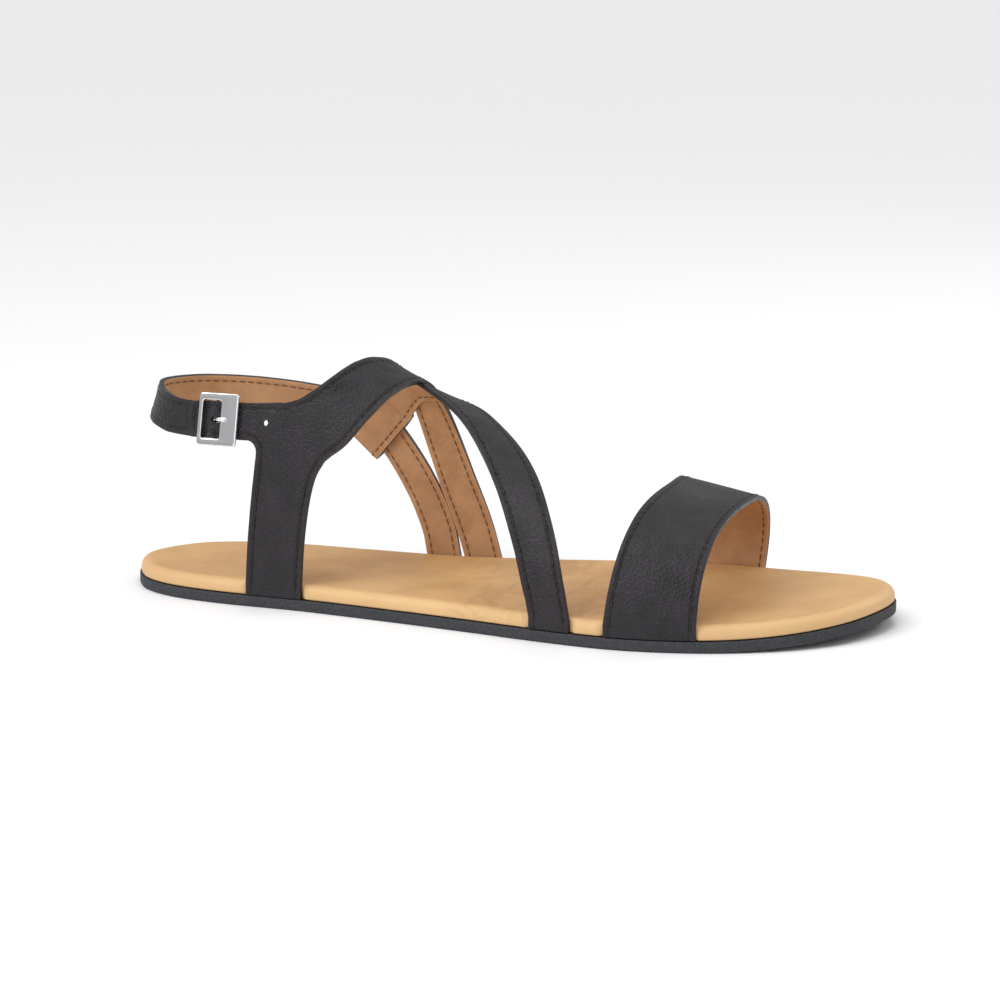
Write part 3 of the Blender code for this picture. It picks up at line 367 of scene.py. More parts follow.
    def round_heel(self, around: float, height: float, lift: float = 0.0) -> np.ndarray:
        """Place on the heel.

        Args:
            around: Distance round the rim from the back, inner side positive.
            height: Height over the rim, or under it when negative.
            lift: Distance off the foot.

        Returns:
            The point in the model's frame.
        """
        inner = around >= 0
        edge = self.inner_edge if inner else self.outer_edge
        length = self.inner_length if inner else self.outer_length
        station = float(np.interp(abs(around), length, edge[:, 0]))
        y = float(np.interp(abs(around), length, edge[:, 1]))
        if height <= 0:
            y -= math.copysign(1.0, around) * max(-height - self.drop, 0.0)
            return self.settle(station, y, self.rim_height - min(-height, self.drop), 1.0)
        sides = (self.inner_edge, self.outer_edge)
        middle = sum(self.edge_at(side, station) for side in sides) / 2
        rise = height / self.height(station)
        side = math.sqrt(1 - rise**self.squareness) ** (2 / self.squareness)
        shifted = middle + (y - middle) * side + self.crest_shift * rise
        place = self.settle(station, shifted, self.rim_height + height, side)
        if not lift:
            return place
        nudge = self.nudge
        onward = self.round_heel(around + nudge, height) - self.round_heel(around - nudge, height)
        up = self.round_heel(around, height + nudge) - self.round_heel(around, height - nudge)
        outward = np.cross(up, onward)
        return place + lift * outward / np.linalg.norm(outward)


# ---------------------------------------------------------------- shading


class Wire:
    """One output socket, or a number, used in arithmetic."""

    def __init__(self, painter: "Painter", socket: bpy.types.NodeSocket) -> None:
        """Keeps the socket and the painter that owns it."""
        self.painter = painter
        self.socket = socket

    def maths(self, operation: str, *values: "Wire | float") -> "Wire":
        """Result of one Math node."""
        sockets = dict(enumerate(values))
        return self.painter.node("ShaderNodeMath", {"operation": operation}, sockets)

    def __add__(self, other: "Wire | float") -> "Wire":
        """Sum."""
        return self.maths("ADD", self, other)

    def __sub__(self, other: "Wire | float") -> "Wire":
        """Difference."""
        return self.maths("SUBTRACT", self, other)

    def __rsub__(self, other: float) -> "Wire":
        """Difference from a number."""
        return self.maths("SUBTRACT", other, self)

    def __mul__(self, other: "Wire | float") -> "Wire":
        """Product."""
        return self.maths("MULTIPLY", self, other)

    def __truediv__(self, other: "Wire | float") -> "Wire":
        """Quotient."""
        return self.maths("DIVIDE", self, other)

    __radd__ = __add__

    def above(self, low: float, high: float) -> "Wire":
        """Soft step from 0 at low to 1 at high."""
        settings = {"interpolation_type": "SMOOTHSTEP", "clamp": True}
        return self.painter.node(
            "ShaderNodeMapRange", settings, {"Value": self, "From Min": low, "From Max": high}
        )

    def hump(self, centre: float, width: float) -> "Wire":
        """1 at the centre, falling off softly on both sides."""
        away = (self - centre) / width
        return self.maths("EXPONENT", 0.0 - away * away)


class Painter:
    """Makes one material out of nodes."""

    def __init__(self, name: str) -> None:
        """Starts a material with one surface shader."""
        self.material = bpy.data.materials.new(name)
        self.material.use_nodes = True
        self.tree = self.material.node_tree
        self.surface = self.tree.nodes["Principled BSDF"]
        self.object_space = self.node("ShaderNodeTexCoord", {}, {}, "Object")

    def node(self, kind: str, settings: dict, sockets: dict, output: int | str = 0) -> Wire:
        """Adds one node.

        Args:
            kind: Type name of the node.
            settings: Properties to set first.
            sockets: Values or wires for the inputs, by name or place.
            output: Name or place of the output to read.

        Returns:
            The output as a wire.
        """
        made = self.tree.nodes.new(kind)
        for name, value in settings.items():
            setattr(made, name, value)
        self.feed(made, sockets)
        return Wire(self, made.outputs[output])

    def feed(self, made: bpy.types.Node, sockets: dict) -> None:
        """Sets or links inputs of a node."""
        for key, value in sockets.items():
            if isinstance(value, Wire):
                self.tree.links.new(value.socket, made.inputs[key])
            else:
                made.inputs[key].default_value = value

    def stretched(self, stretch: tuple) -> Wire:
        """Object space, scaled along each axis."""
        return self.node(
            "ShaderNodeMapping", {}, {"Vector": self.object_space, "Scale": stretch}
        )

    def noise(self, size: float, detail: float = 2.0, stretch: tuple = (1, 1, 1)) -> Wire:
        """Cloudy pattern with features of one size."""
        where = self.stretched(stretch)
        sockets = {"Vector": where, "Scale": 1 / size, "Detail": detail, "Roughness": 0.55}
        return self.node("ShaderNodeTexNoise", {}, sockets)

    def pebbles(self, size: float, smooth: float = 0.5) -> Wire:
        """Distance to the middle of the nearest pebble."""
        settings = {"feature": "SMOOTH_F1"}
        sockets = {"Vector": self.object_space, "Scale": 1 / size, "Smoothness": smooth}
        return self.node("ShaderNodeTexVoronoi", settings, sockets)

    def wrinkles(self, size: float, stretch: tuple) -> Wire:
        """Distance to the nearest line of a drifting net of wrinkles."""
        where = self.stretched(stretch)
        sockets = {"Vector": where, "Scale": 1.2 / size, "Detail": 3.0}
        drift = self.node("ShaderNodeTexNoise", {}, sockets, "Color")
        sockets = {0: drift, 1: (size, size, size), 2: where}
        pushed = self.node("ShaderNodeVectorMath", {"operation": "MULTIPLY_ADD"}, sockets)
        sockets = {"Vector": pushed, "Scale": 1 / size}
        return self.node("ShaderNodeTexVoronoi", {"feature": "DISTANCE_TO_EDGE"}, sockets)

    def mix(self, share: Wire | float, first: Wire | tuple, second: Wire | tuple) -> Wire:
        """Colour between two others."""
        return self.node(
            "ShaderNodeMix", {"data_type": "RGBA"}, {0: share, 6: first, 7: second}, 2
        )

    def stored(self, name: str) -> Wire:
        """Number stored on the mesh."""
        return self.node("ShaderNodeAttribute", {"attribute_name": name}, {}, "Fac")

    def relief(self, height: Wire, depth: float) -> None:
        """Feeds a bump of a real depth to the surface."""
        sockets = {"Height": height, "Distance": depth}
        self.feed(self.surface, {"Normal": self.node("ShaderNodeBump", {}, sockets)})


def tone(red: float, green: float, blue: float) -> tuple:
    """Linear colour from the 0 to 255 values that a screen shows."""
    shares = [value / 255 for value in (red, green, blue)]
    curve = [s / 12.92 if s <= 0.04045 else ((s + 0.055) / 1.055) ** 2.4 for s in shares]
    return (*curve, 1.0)


@dataclass(frozen=True)
class GrainedLeather:
    """Upper leather with a fine pebbled grain, sewn near its edges."""

    name: str
    colour: tuple
    shade: tuple
    grain: float
    depth: float
    roughness: float
    coat: float = 0.0
    specular: float = 0.5
    seam: float = 1.9 * MM
    pinhole: tuple | None = None
    pinhole_radius: float = 0.45 * MM

    def make(self) -> bpy.types.Material:
        """Builds the material."""
        p = Painter(self.name)
        cloud = p.noise(9 * MM, 3)
        pebble = p.pebbles(self.grain)
        fine = p.noise(self.grain * 0.45, 3)
        edge = p.stored("edge")
        groove = edge.hump(self.seam, 0.45 * MM)
        # Near the border the leather is lightened: partly rubbed wear, partly a painted highlight
        # along the rounded edge.
        wear_and_sheen = 1 - edge.above(0.1 * MM, 0.9 * MM)
        height = pebble.above(0.75, 0.05) * 0.7 + fine * 0.3 - groove * 1.2
        # Darker at random, and darker in the stitch groove and the hollows between pebbles:
        # painted shade.
        share = cloud.above(0.3, 0.7) * 0.6 + groove * 0.35 + pebble * 0.25
        colour = p.mix(share, self.colour, self.shade)
        lighter = tuple(min(1.0, part * 1.5) for part in self.colour[:3]) + (1.0,)
        colour = p.mix(wear_and_sheen * fine * 0.5, colour, lighter)
        if self.pinhole:
            sockets = {0: p.object_space, 1: self.pinhole}
            away = p.node("ShaderNodeVectorMath", {"operation": "DISTANCE"}, sockets, "Value")
            hole = 1 - away.above(self.pinhole_radius * 0.6, self.pinhole_radius * 1.4)
            # The dark colour in the pinhole is painted shade for the depth of the hole.
            colour = p.mix(hole, colour, tone(30, 22, 18))
            height = height - hole * 3.0
        roughness = self.roughness + (cloud - 0.5) * 0.18 + pebble * 0.10
        p.feed(p.surface, {"Base Color": colour, "Roughness": roughness})
        p.feed(p.surface, {"Coat Weight": self.coat, "Coat Roughness": 0.35})
        p.feed(p.surface, {"Specular IOR Level": self.specular})
        p.relief(height, self.depth)
        return p.material


@dataclass(frozen=True)
class RawEdge:
    """Cut leather edge, painted dark and a little fibrous."""

    name: str = "edge_paint"
    colour: tuple = tone(36, 33, 35)
    shade: tuple = tone(23, 21, 22)

    def make(self) -> bpy.types.Material:
        """Builds the material."""
        p = Painter(self.name)
        fibre = p.noise(0.35 * MM, 4)
        cloud = p.noise(4 * MM, 2)
        colour = p.mix(fibre.above(0.35, 0.65), self.colour, self.shade)
        p.feed(p.surface, {"Base Color": colour, "Roughness": 0.46 + (cloud - 0.5) * 0.3})
        p.relief(fibre, 0.12 * MM)
        return p.material


@dataclass(frozen=True)
class FootbedLeather:
    """Soft tan leather over padding, wrinkled where the foot bends it."""

    name: str = "footbed_tan"
    colour: tuple = tone(208, 166, 112)
    shade: tuple = tone(176, 130, 82)
    rim_highlight: tuple = tone(222, 184, 132)
    wrinkle: float = 11 * MM

    def make(self) -> bpy.types.Material:
        """Builds the material."""
        p = Painter(self.name)
        cloud = p.noise(26 * MM, 4)
        patch = p.noise(17 * MM, 2)
        pore = p.noise(0.55 * MM, 3)
        creased = p.stored("crease")
        rim = p.stored("edge")
        broad = p.wrinkles(self.wrinkle, (1.0, 0.45, 1.0))
        small = p.wrinkles(self.wrinkle * 0.4, (1.0, 0.7, 1.0))
        lines = (1 - broad.above(0.0, 0.16)) * creased * patch.above(0.35, 0.6)
        lines = lines + (1 - small.above(0.0, 0.12)) * creased * patch.above(0.5, 0.75) * 0.35
        share = cloud.above(0.3, 0.75) * 0.55
        colour = p.mix(share, self.colour, self.shade)
        # The wrinkle lines are darkened: painted shade in the creases.
        colour = p.mix(lines * 0.45, colour, self.shade)
        # Lighter along the padded rim: a painted highlight where the rounded lip catches the
        # light.
        colour = p.mix((1 - rim.above(1.0 * MM, 5.0 * MM)) * 0.6, colour, self.rim_highlight)
        roughness = 0.52 + (cloud - 0.5) * 0.16 + pore * 0.06
        p.feed(p.surface, {"Base Color": colour, "Roughness": roughness})
        p.relief(pore * 0.12 - lines * 0.8 + cloud * 0.4, 0.32 * MM)
        return p.material


@dataclass(frozen=True)
class SoleRubber:
    """Black sole sheet: a close pebble underneath, a plain cut side."""

    name: str
    pebble: float
    depth: float
    colour: tuple = tone(58, 59, 63)
    shade: tuple = tone(38, 39, 43)
    dust: tuple = tone(92, 92, 96)

    def make(self) -> bpy.types.Material:
        """Builds the material."""
        p = Painter(self.name)
        bumps = p.pebbles(self.pebble, 0.35)
        fine = p.noise(0.4 * MM, 4)
        cloud = p.noise(12 * MM, 3)
        # Darker between the pebbles, where the surface is low: painted shade.
        colour = p.mix(bumps.above(0.2, 0.7) * 0.7, self.colour, self.shade)
        colour = p.mix(fine.above(0.62, 0.74) * 0.35, colour, self.dust)
        roughness = 0.72 + (cloud - 0.5) * 0.2
        p.feed(p.surface, {"Base Color": colour, "Roughness": roughness})
        p.relief(bumps.above(0.7, 0.1) + fine * 0.35, self.depth)
        return p.material


@dataclass(frozen=True)
class Thread:
    """Waxed sewing thread."""

    name: str
    colour: tuple
    shade: tuple

    def make(self) -> bpy.types.Material:
        """Builds the material."""
        p = Painter(self.name)
        twist = p.noise(0.25 * MM, 3)
        colour = p.mix(twist.above(0.35, 0.65), self.colour, self.shade)
        p.feed(p.surface, {"Base Color": colour, "Roughness": 0.5 + twist * 0.2})
        p.relief(twist, 0.05 * MM)
        return p.material


@dataclass(frozen=True)
class PolishedMetal:
    """Bright plated buckle with faint handling marks."""

    name: str = "polished_silver"
    colour: tuple = tone(232, 232, 235)

    def make(self) -> bpy.types.Material:
        """Builds the material."""
        p = Painter(self.name)
        marks = p.noise(1.4 * MM, 5, stretch=(1.0, 3.0, 0.4))
        haze = p.noise(3 * MM, 3)
        dull = tuple(part * 0.9 for part in self.colour[:3]) + (1.0,)
        colour = p.mix(haze.above(0.4, 0.8) * 0.5, self.colour, dull)
        roughness = 0.09 + haze.above(0.4, 0.8) * 0.05 + marks.hump(0.5, 0.02) * 0.05
        p.feed(p.surface, {"Base Color": colour, "Roughness": roughness, "Metallic": 1.0})
        p.relief(haze, 0.004 * MM)
        return p.material


@dataclass(frozen=True)
class PaleFloor:
    """Plain matt studio floor."""

    name: str = "studio_floor"
    colour: tuple = tone(249, 249, 250)

    def make(self) -> bpy.types.Material:
        """Builds the material."""
        p = Painter(self.name)
        cloud = p.noise(0.5, 2)
        colour = p.mix(cloud * 0.08, self.colour, tone(240, 240, 242))
        p.feed(p.surface, {"Base Color": colour, "Roughness": 0.55 + cloud * 0.1})
        return p.material


@dataclass
class Finishes:
    """Every material of the sandal, made once."""

    outside: bpy.types.Material
    lining: bpy.types.Material
    edge: bpy.types.Material
    footbed: bpy.types.Material
    tread: bpy.types.Material
    cut: bpy.types.Material
    dark_thread: bpy.types.Material
    tan_thread: bpy.types.Material
    metal: bpy.types.Material

    @classmethod
    def make(cls, pinhole: tuple) -> "Finishes":
        """Makes them all, the lining with one pinhole at a place."""
        outside = GrainedLeather(
            "dark_leather", tone(40, 36, 40), tone(24, 21, 24), 0.85 * MM, 0.30 * MM, 0.40,
            coat=0.06, specular=0.3,
        )
        lining = GrainedLeather(
            "tan_lining", tone(194, 150, 108), tone(164, 120, 82), 0.60 * MM, 0.08 * MM, 0.58,
            pinhole=pinhole,
        )
        return cls(
            outside=outside.make(),
            lining=lining.make(),
            edge=RawEdge().make(),
            footbed=FootbedLeather().make(),
            tread=SoleRubber("sole_tread", 1.5 * MM, 0.35 * MM).make(),
            cut=SoleRubber("sole_cut", 0.8 * MM, 0.10 * MM).make(),
            dark_thread=Thread("dark_thread", tone(42, 34, 35), tone(22, 18, 19)).make(),
            tan_thread=Thread("tan_thread", tone(120, 78, 46), tone(84, 52, 30)).make(),
            metal=PolishedMetal().make(),
        )


# ---------------------------------------------------------------- pieces


def object_from(name: str, data: bpy.types.ID) -> bpy.types.Object:
    """Object of a mesh, curve, light or camera, linked to the scene at the origin."""
    made = bpy.data.objects.new(name, data)
    bpy.context.scene.collection.objects.link(made)
    return made


def mesh_from(name: str, points: Sequence, faces: Sequence) -> bpy.types.Mesh:
    """Mesh of points and faces."""
    mesh = bpy.data.meshes.new(name)
    mesh.from_pydata([tuple(point) for point in points], [], [tuple(f) for f in faces])
    return mesh


def store(mesh: bpy.types.Mesh, name: str, values: Sequence[float]) -> None:
    """Stores one number a point on a mesh."""
    layer = mesh.attributes.new(name, "FLOAT", "POINT")
    layer.data.foreach_set("value", np.asarray(values, np.float32))


def poured(body: bmesh.types.BMesh, mesh: bpy.types.Mesh) -> bpy.types.Mesh:
    """Writes loose geometry to a mesh and frees it."""
    body.to_mesh(mesh)
    body.free()
    return mesh


def evaluated(made: bpy.types.Object) -> bpy.types.Mesh:
    """New mesh of an object as its modifiers or curve settings shape it."""
    bpy.context.view_layer.update()
    graph = bpy.context.evaluated_depsgraph_get()
    return bpy.data.meshes.new_from_object(made.evaluated_get(graph))


def smooth(mesh: bpy.types.Mesh, angle: float) -> None:
    """Shades a mesh smooth, with edges sharper than an angle in degrees left sharp."""
    mesh.shade_smooth()
    mesh.set_sharp_from_angle(angle=math.radians(angle))


def soften(made: bpy.types.Object, width: float, segments: int) -> None:
    """Rounds the edges that are sharper than the set angle."""
    bevel = made.modifiers.new("Soft edge", "BEVEL")
    bevel.width = width
    bevel.segments = segments
    bevel.limit_method = "ANGLE"
    bevel.angle_limit = math.radians(SHARP)


def plain(made: bpy.types.Object) -> bpy.types.Mesh:
    """Turns an object's modifiers into plain mesh."""
    mesh = evaluated(made)
    made.modifiers.clear()
    old = made.data
    made.data = mesh
    bpy.data.meshes.remove(old)
    return mesh


def settle_modifiers(made: bpy.types.Object, angle: float = 40.0, punched: bool = False) -> None:
    """Turns an object's modifiers into plain mesh and shades it smooth.

    Args:
        made: The object.
        angle: Sharper edges than this, in degrees, stay sharp.
        punched: Whether holes were cut in it, which would shade unevenly.
    """
    smooth(plain(made), angle)
    if punched:
        even = made.modifiers.new("Even light", "WEIGHTED_NORMAL")
        even.keep_sharp = True
        plain(made)


def ready(made: bpy.types.Object, slot: str, *nodes: str) -> bpy.types.Object:
    """Puts a finished piece on the frame.

    Args:
        made: The piece.
        slot: Its material slot in the record; not used.
        nodes: Solids of the model that it stands for.

    Returns:
        The same piece.
    """
    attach(made, BODY)
    if nodes:
        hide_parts(*nodes)
    LOG.info("%s: %d faces", made.name, len(made.data.polygons))
    return made


def recalculated(mesh: bpy.types.Mesh) -> bpy.types.Mesh:
    """The same mesh, its doubles merged and its faces turned outward."""
    body = bmesh.new()
    body.from_mesh(mesh)
    bmesh.ops.remove_doubles(body, verts=body.verts, dist=1e-7)
    bmesh.ops.recalc_face_normals(body, faces=body.faces)
    return poured(body, mesh)


def cut(made: bpy.types.Object, tool: bpy.types.Object) -> None:
    """Cuts one closed mesh out of another."""
    modifier = made.modifiers.new("Punch", "BOOLEAN")
    modifier.operation = "DIFFERENCE"
    modifier.solver = "EXACT"
    modifier.object = tool


class Crease(NamedTuple):
    """Soft trough between two ridges: where it lies, its size, and its lean in degrees."""

    station: float
    girth: float
    length: float
    width: float
    depth: float
    lean: float

    def at(self, places: np.ndarray) -> np.ndarray:
        """How far the surface moves out at each place."""
        lean = math.radians(self.lean)
        away = places - (self.station, self.girth)
        along = away @ (math.cos(lean), math.sin(lean))
        across = away @ (-math.sin(lean), math.cos(lean)) / self.width
        reach = np.exp(-((along / self.length) ** 4))
        return -self.depth * (1 - 1.3 * across**2) * np.exp(-(across**2)) * reach


@dataclass
class Sheet:
    """Middle surface of a strap, with the station and girth of each point."""

    points: np.ndarray
    places: np.ndarray
    faces: list
    edge_round: float = 0.32 * MM

    def across_face(self, corners: Sequence[int]) -> np.ndarray:
        """Direction square to a face, twice as long as the area at its first corners."""
        a, b, c = (self.points[corner] for corner in corners[:3])
        return np.cross(b - a, c - a)

    def normals(self) -> np.ndarray:
        """Unit normal at each point."""
        total = np.zeros_like(self.points)
        for corners in self.faces:
            normal = self.across_face(corners)
            for corner in corners:
                total[corner] += normal
        return total / np.maximum(np.linalg.norm(total, axis=1), 1e-12)[:, None]

    def face_out(self, inside: np.ndarray, first: int) -> None:
        """Turns all faces so that the first ones look away from a point inside."""
        total = 0.0
        for corners in self.faces[:first]:
            total += float(self.across_face(corners) @ (self.points[corners[0]] - inside))
        if total < 0:
            self.faces = [tuple(reversed(corners)) for corners in self.faces]

    def press(self, creases: Sequence[Crease]) -> None:
        """Moves the surface by soft troughs and ridges."""
        move = sum((crease.at(self.places) for crease in creases), np.zeros(len(self.points)))
        self.points = self.points + self.normals() * move[:, None]

    def border(self) -> list[tuple[int, int, np.ndarray]]:
        """Open edges, each with the middle of its face."""
        seen: dict[tuple[int, int], list] = {}
        for corners in self.faces:
            middle = self.points[list(corners)].mean(axis=0)
            for a, b in zip(corners, corners[1:] + corners[:1]):
                seen.setdefault((min(a, b), max(a, b)), []).append((a, b, middle))
        return [found[0] for found in seen.values() if len(found) == 1]

    def edge_distance(self, points: np.ndarray) -> np.ndarray:
        """Distance of each point from the sheet's border."""
        shares = np.linspace(0, 1, 5)[:-1]
        border = [
            self.points[a] * (1 - s) + self.points[b] * s
            for a, b, _ in self.border()
            for s in shares
        ]
        tree = KDTree(len(border))
        for i, point in enumerate(border):
            tree.insert(point, i)
        tree.balance()
        return np.array([tree.find(point)[2] for point in points])

    def seam(self, inset: float, lowest: float) -> list[tuple[np.ndarray, np.ndarray]]:
        """Sewing lines a set distance in from the border.

        Args:
            inset: Distance from the edge.
            lowest: Height below which nothing is sewn.

        Returns:
            For each line its points and the surface normals there.
        """
        after = {a: (b, middle) for a, b, middle in self.border()}
        tree = BVHTree.FromPolygons([Vector(p) for p in self.points], self.faces)
        lines = []
        while after:
            start = next(iter(after))
            loop = []
            at = start
            while at in after:
                onward, middle = after.pop(at)
                a, b = self.points[at], self.points[onward]
                along = (b - a) / max(float(np.linalg.norm(b - a)), 1e-9)
                inward = middle - (a + b) / 2
                inward -= along * (inward @ along)
                loop.append(((a + b) / 2, unit(inward)))
                at = onward
            spots = np.array([p for p, _ in loop])
            inward = np.array([n for _, n in loop])
            moved = eased(spots + units(eased(inward, 3)) * inset, 2)
            found = [tree.find_nearest(Vector(p)) for p in moved]
            snapped = np.array([tuple(f[0]) for f in found])
            normals = np.array([tuple(f[1]) for f in found])
            gap = self.edge_distance(snapped)
            keep = (gap > inset * 0.9) & (snapped[:, 2] > lowest)
            lines += self.runs(snapped, normals, keep)
        return lines

    @staticmethod
    def runs(points: np.ndarray, normals: np.ndarray, keep: np.ndarray) -> list:
        """Unbroken stretches of the points that are kept."""
        if not keep.any():
            return []
        if not keep.all():
            first = int(np.argmin(keep))
            points, normals = np.roll(points, -first, axis=0), np.roll(normals, -first, axis=0)
            keep = np.roll(keep, -first)
        lines, start = [], None
        for i, kept in enumerate([*keep, False]):
            if kept and start is None:
                start = i
            elif not kept and start is not None:
                if i - start > 4:
                    lines.append((points[start:i], normals[start:i]))
                start = None
        return lines

    def leather(self, name: str, finishes: Finishes, thickness: float) -> bpy.types.Object:
        """Strap of one thickness with rounded edges, outside, lining and edge finished apart."""
        mesh = mesh_from(name, self.points, self.faces)
        store(mesh, "edge", self.edge_distance(self.points))
        for material in (finishes.outside, finishes.lining, finishes.edge):
            mesh.materials.append(material)
        made = object_from(name, mesh)
        thicken = made.modifiers.new("Leather", "SOLIDIFY")
        thicken.thickness = thickness
        thicken.offset = 0
        thicken.use_even_offset = True
        thicken.material_offset = Face.LINING.value
        thicken.material_offset_rim = Face.EDGE.value
        soften(made, self.edge_round, 3)
        return made


SIZES = ("Pitch", "Length", "Width", "Wobble")


@dataclass
class Stitcher:
    """Rows of short raised stitches along lines, made by one node tree."""

    pitch: float = 2.9 * MM
    length: float = 2.45 * MM
    width: float = 0.46 * MM
    wobble: float = 0.05

    LINKS: ClassVar = (
        ("enter", "Geometry", "curve", "Mesh"),
        ("curve", 0, "even", "Curve"),
        ("enter", "Pitch", "even", "Length"),
        ("enter", "Length", "size", "X"),
        ("enter", "Width", "size", "Y"),
        ("enter", "Width", "size", "Z"),
        ("jitter", "Value", "centre", 0),
        ("centre", "Vector", "spread", 0),
        ("enter", "Wobble", "spread", "Scale"),
        ("along", "Tangent", "lean", 0),
        ("spread", "Vector", "lean", 1),
        ("lean", "Vector", "turn", "Vector"),
        ("even", "Curve", "lay", "Points"),
        ("ball", "Mesh", "lay", "Instance"),
        ("turn", "Rotation", "lay", "Rotation"),
        ("size", "Vector", "lay", "Scale"),
        ("lay", "Instances", "real", "Geometry"),
        ("real", "Geometry", "dye", "Geometry"),
        ("dye", "Geometry", "leave", "Geometry"),
    )

    @staticmethod
    def add(tree: bpy.types.NodeTree, kind: str, settings: dict, values: dict) -> bpy.types.Node:
        """Adds one node with its properties and the fixed values of its inputs."""
        made = tree.nodes.new(kind)
        for name, value in settings.items():
            setattr(made, name, value)
        for name, value in values.items():
            made.inputs[name].default_value = value
        return made

    def tree(self, material: bpy.types.Material) -> bpy.types.NodeTree:
        """Node tree that lays one stitch a pitch along its lines."""
        tree = bpy.data.node_groups.new("stitch_row", "GeometryNodeTree")
        face = tree.interface
        face.new_socket("Geometry", in_out="INPUT", socket_type="NodeSocketGeometry")
        for name in SIZES:
            face.new_socket(name, in_out="INPUT", socket_type="NodeSocketFloat")
        face.new_socket("Geometry", in_out="OUTPUT", socket_type="NodeSocketGeometry")
        vector = "ShaderNodeVectorMath"
        middle = {1: (0.5, 0.5, 0.5)}
        kinds = {
            "enter": ("NodeGroupInput", {}, {}),
            "curve": ("GeometryNodeMeshToCurve", {}, {}),
            "even": ("GeometryNodeResampleCurve", {"mode": "LENGTH"}, {}),
            "ball": ("GeometryNodeMeshUVSphere", {}, {"Segments": 8, "Rings": 6, "Radius": 0.5}),
            "size": ("ShaderNodeCombineXYZ", {}, {}),
            "along": ("GeometryNodeInputTangent", {}, {}),
            "jitter": ("FunctionNodeRandomValue", {"data_type": "FLOAT_VECTOR"}, {"Seed": 7}),
            "centre": (vector, {"operation": "SUBTRACT"}, middle),
            "spread": (vector, {"operation": "SCALE"}, {}),
            "lean": (vector, {"operation": "ADD"}, {}),
            "turn": ("FunctionNodeAlignRotationToVector", {"axis": "X"}, {}),
            "lay": ("GeometryNodeInstanceOnPoints", {}, {}),
            "real": ("GeometryNodeRealizeInstances", {}, {}),
            "dye": ("GeometryNodeSetMaterial", {}, {"Material": material}),
            "leave": ("NodeGroupOutput", {}, {}),
        }
        nodes = {name: self.add(tree, *row) for name, row in kinds.items()}
        for start, output, end, entry in self.LINKS:
            tree.links.new(nodes[start].outputs[output], nodes[end].inputs[entry])
        return tree

    def sew(
        self, name: str, lines: Sequence[np.ndarray], material: bpy.types.Material
    ) -> bpy.types.Object:
        """Stitches along every line.

        Args:
            name: Name of the piece.
            lines: Points of each line.
            material: Thread.

        Returns:
            The stitches as one plain mesh.
        """
        mesh = bpy.data.meshes.new(name)
        points, edges = [], []
        for line in lines:
            base = len(points)
            points += [tuple(point) for point in line]
            edges += [(base + i, base + i + 1) for i in range(len(line) - 1)]
        mesh.from_pydata(points, edges, [])
        made = object_from(name, mesh)
        tree = self.tree(material)
        modifier = made.modifiers.new("Stitches", "NODES")
        modifier.node_group = tree
        sizes = dict(zip(SIZES, (self.pitch, self.length, self.width, self.wobble)))
        for item in tree.interface.items_tree:
            if item.name in sizes:
                modifier[item.identifier] = sizes[item.name]
        settle_modifiers(made, 180.0)
        return made


class Row(NamedTuple):
    """One row across a strap: station and girth of both edges, lift and what girths count from."""

    rear: tuple
    front: tuple
    lift: float = 0.0
    measure: Measure = Measure.OUTER


@dataclass
class Strap:
    """What every strap that lies on the foot shares."""

    foot: FootShape
    finishes: Finishes
    margin: float = 7 * MM
    under_turn: float = 1.2 * MM
    step: float = 1.2 * MM
    columns: int = 14
    seam_inset: float = 1.9 * MM
    thread_sink: float = 0.02 * MM

    def margin_rows(self, rear: float, front: float, outer: bool) -> list[Row]:
        """Rows of one strap end, from under the footbed up to the rim."""
        drop = self.foot.drop
        reach = [drop + self.margin, drop + self.margin / 2, drop + self.under_turn]
        reach += [drop, drop * 0.66, drop * 0.33]
        if outer:
            return [Row((rear, -past), (front, -past)) for past in reach]
        return [Row((rear, past), (front, past), 0.0, Measure.INNER) for past in reversed(reach)]

    def sheet(self, rows: Sequence[Row], columns: int) -> Sheet:
        """Grid of points over rows."""
        points, places = [], []
        for row in rows:
            rear, front = np.array(row.rear), np.array(row.front)
            for share in np.linspace(0, 1, columns):
                station, girth = rear + (front - rear) * share
                if row.measure is Measure.INNER:
                    girth += self.foot.whole(station)
                elif row.measure is Measure.OVER:
                    girth *= self.foot.whole(station)
                points.append(self.foot.over(station, girth, row.lift))
                places.append((station, girth))
        return Sheet(np.array(points), np.array(places), grid_faces(len(rows), columns))

    def inside(self, station: float) -> np.ndarray:
        """A point inside the foot."""
        return self.foot.on(station, self.foot.whole(station) / 2) * (1, 1, 0.5)

    def dress(self, name: str, sheet: Sheet, *nodes: str, tools: Sequence = ()) -> list:
        """Leather, stitches outside and stitches on the lining of one strap.

        Args:
            name: Plain name of the strap.
            sheet: Its middle surface.
            nodes: Solids of the model that it stands for.
            tools: Punches to cut it with.

        Returns:
            The finished pieces.
        """
        leather = sheet.leather(f"{name}_leather", self.finishes, self.foot.thickness)
        for tool in tools:
            cut(leather, tool)
        settle_modifiers(leather, punched=bool(tools))
        ready(leather, "dark_leather", *nodes)
        lines = sheet.seam(self.seam_inset, self.foot.rim_height)
        rise = self.foot.thickness / 2 - self.thread_sink
        pieces = [leather]
        sides = (
            ("outside", 1, self.finishes.dark_thread),
            ("lining", -1, self.finishes.tan_thread),
        )
        for side, sign, thread in sides:
            paths = [points + normals * rise * sign for points, normals in lines]
            sewn = Stitcher().sew(f"{name}_stitches_{side}", paths, thread)
            pieces.append(ready(sewn, "dark_leather"))
        return pieces


def grid_faces(rows: int, columns: int, first: int = 0) -> list:
    """Faces of a grid of points."""
    return [
        (
            first + i * columns + j,
            first + i * columns + j + 1,
            first + (i + 1) * columns + j + 1,
            first + (i + 1) * columns + j,
        )
        for i in range(rows - 1)
        for j in range(columns - 1)
    ]


# ---------------------------------------------------------------- sole


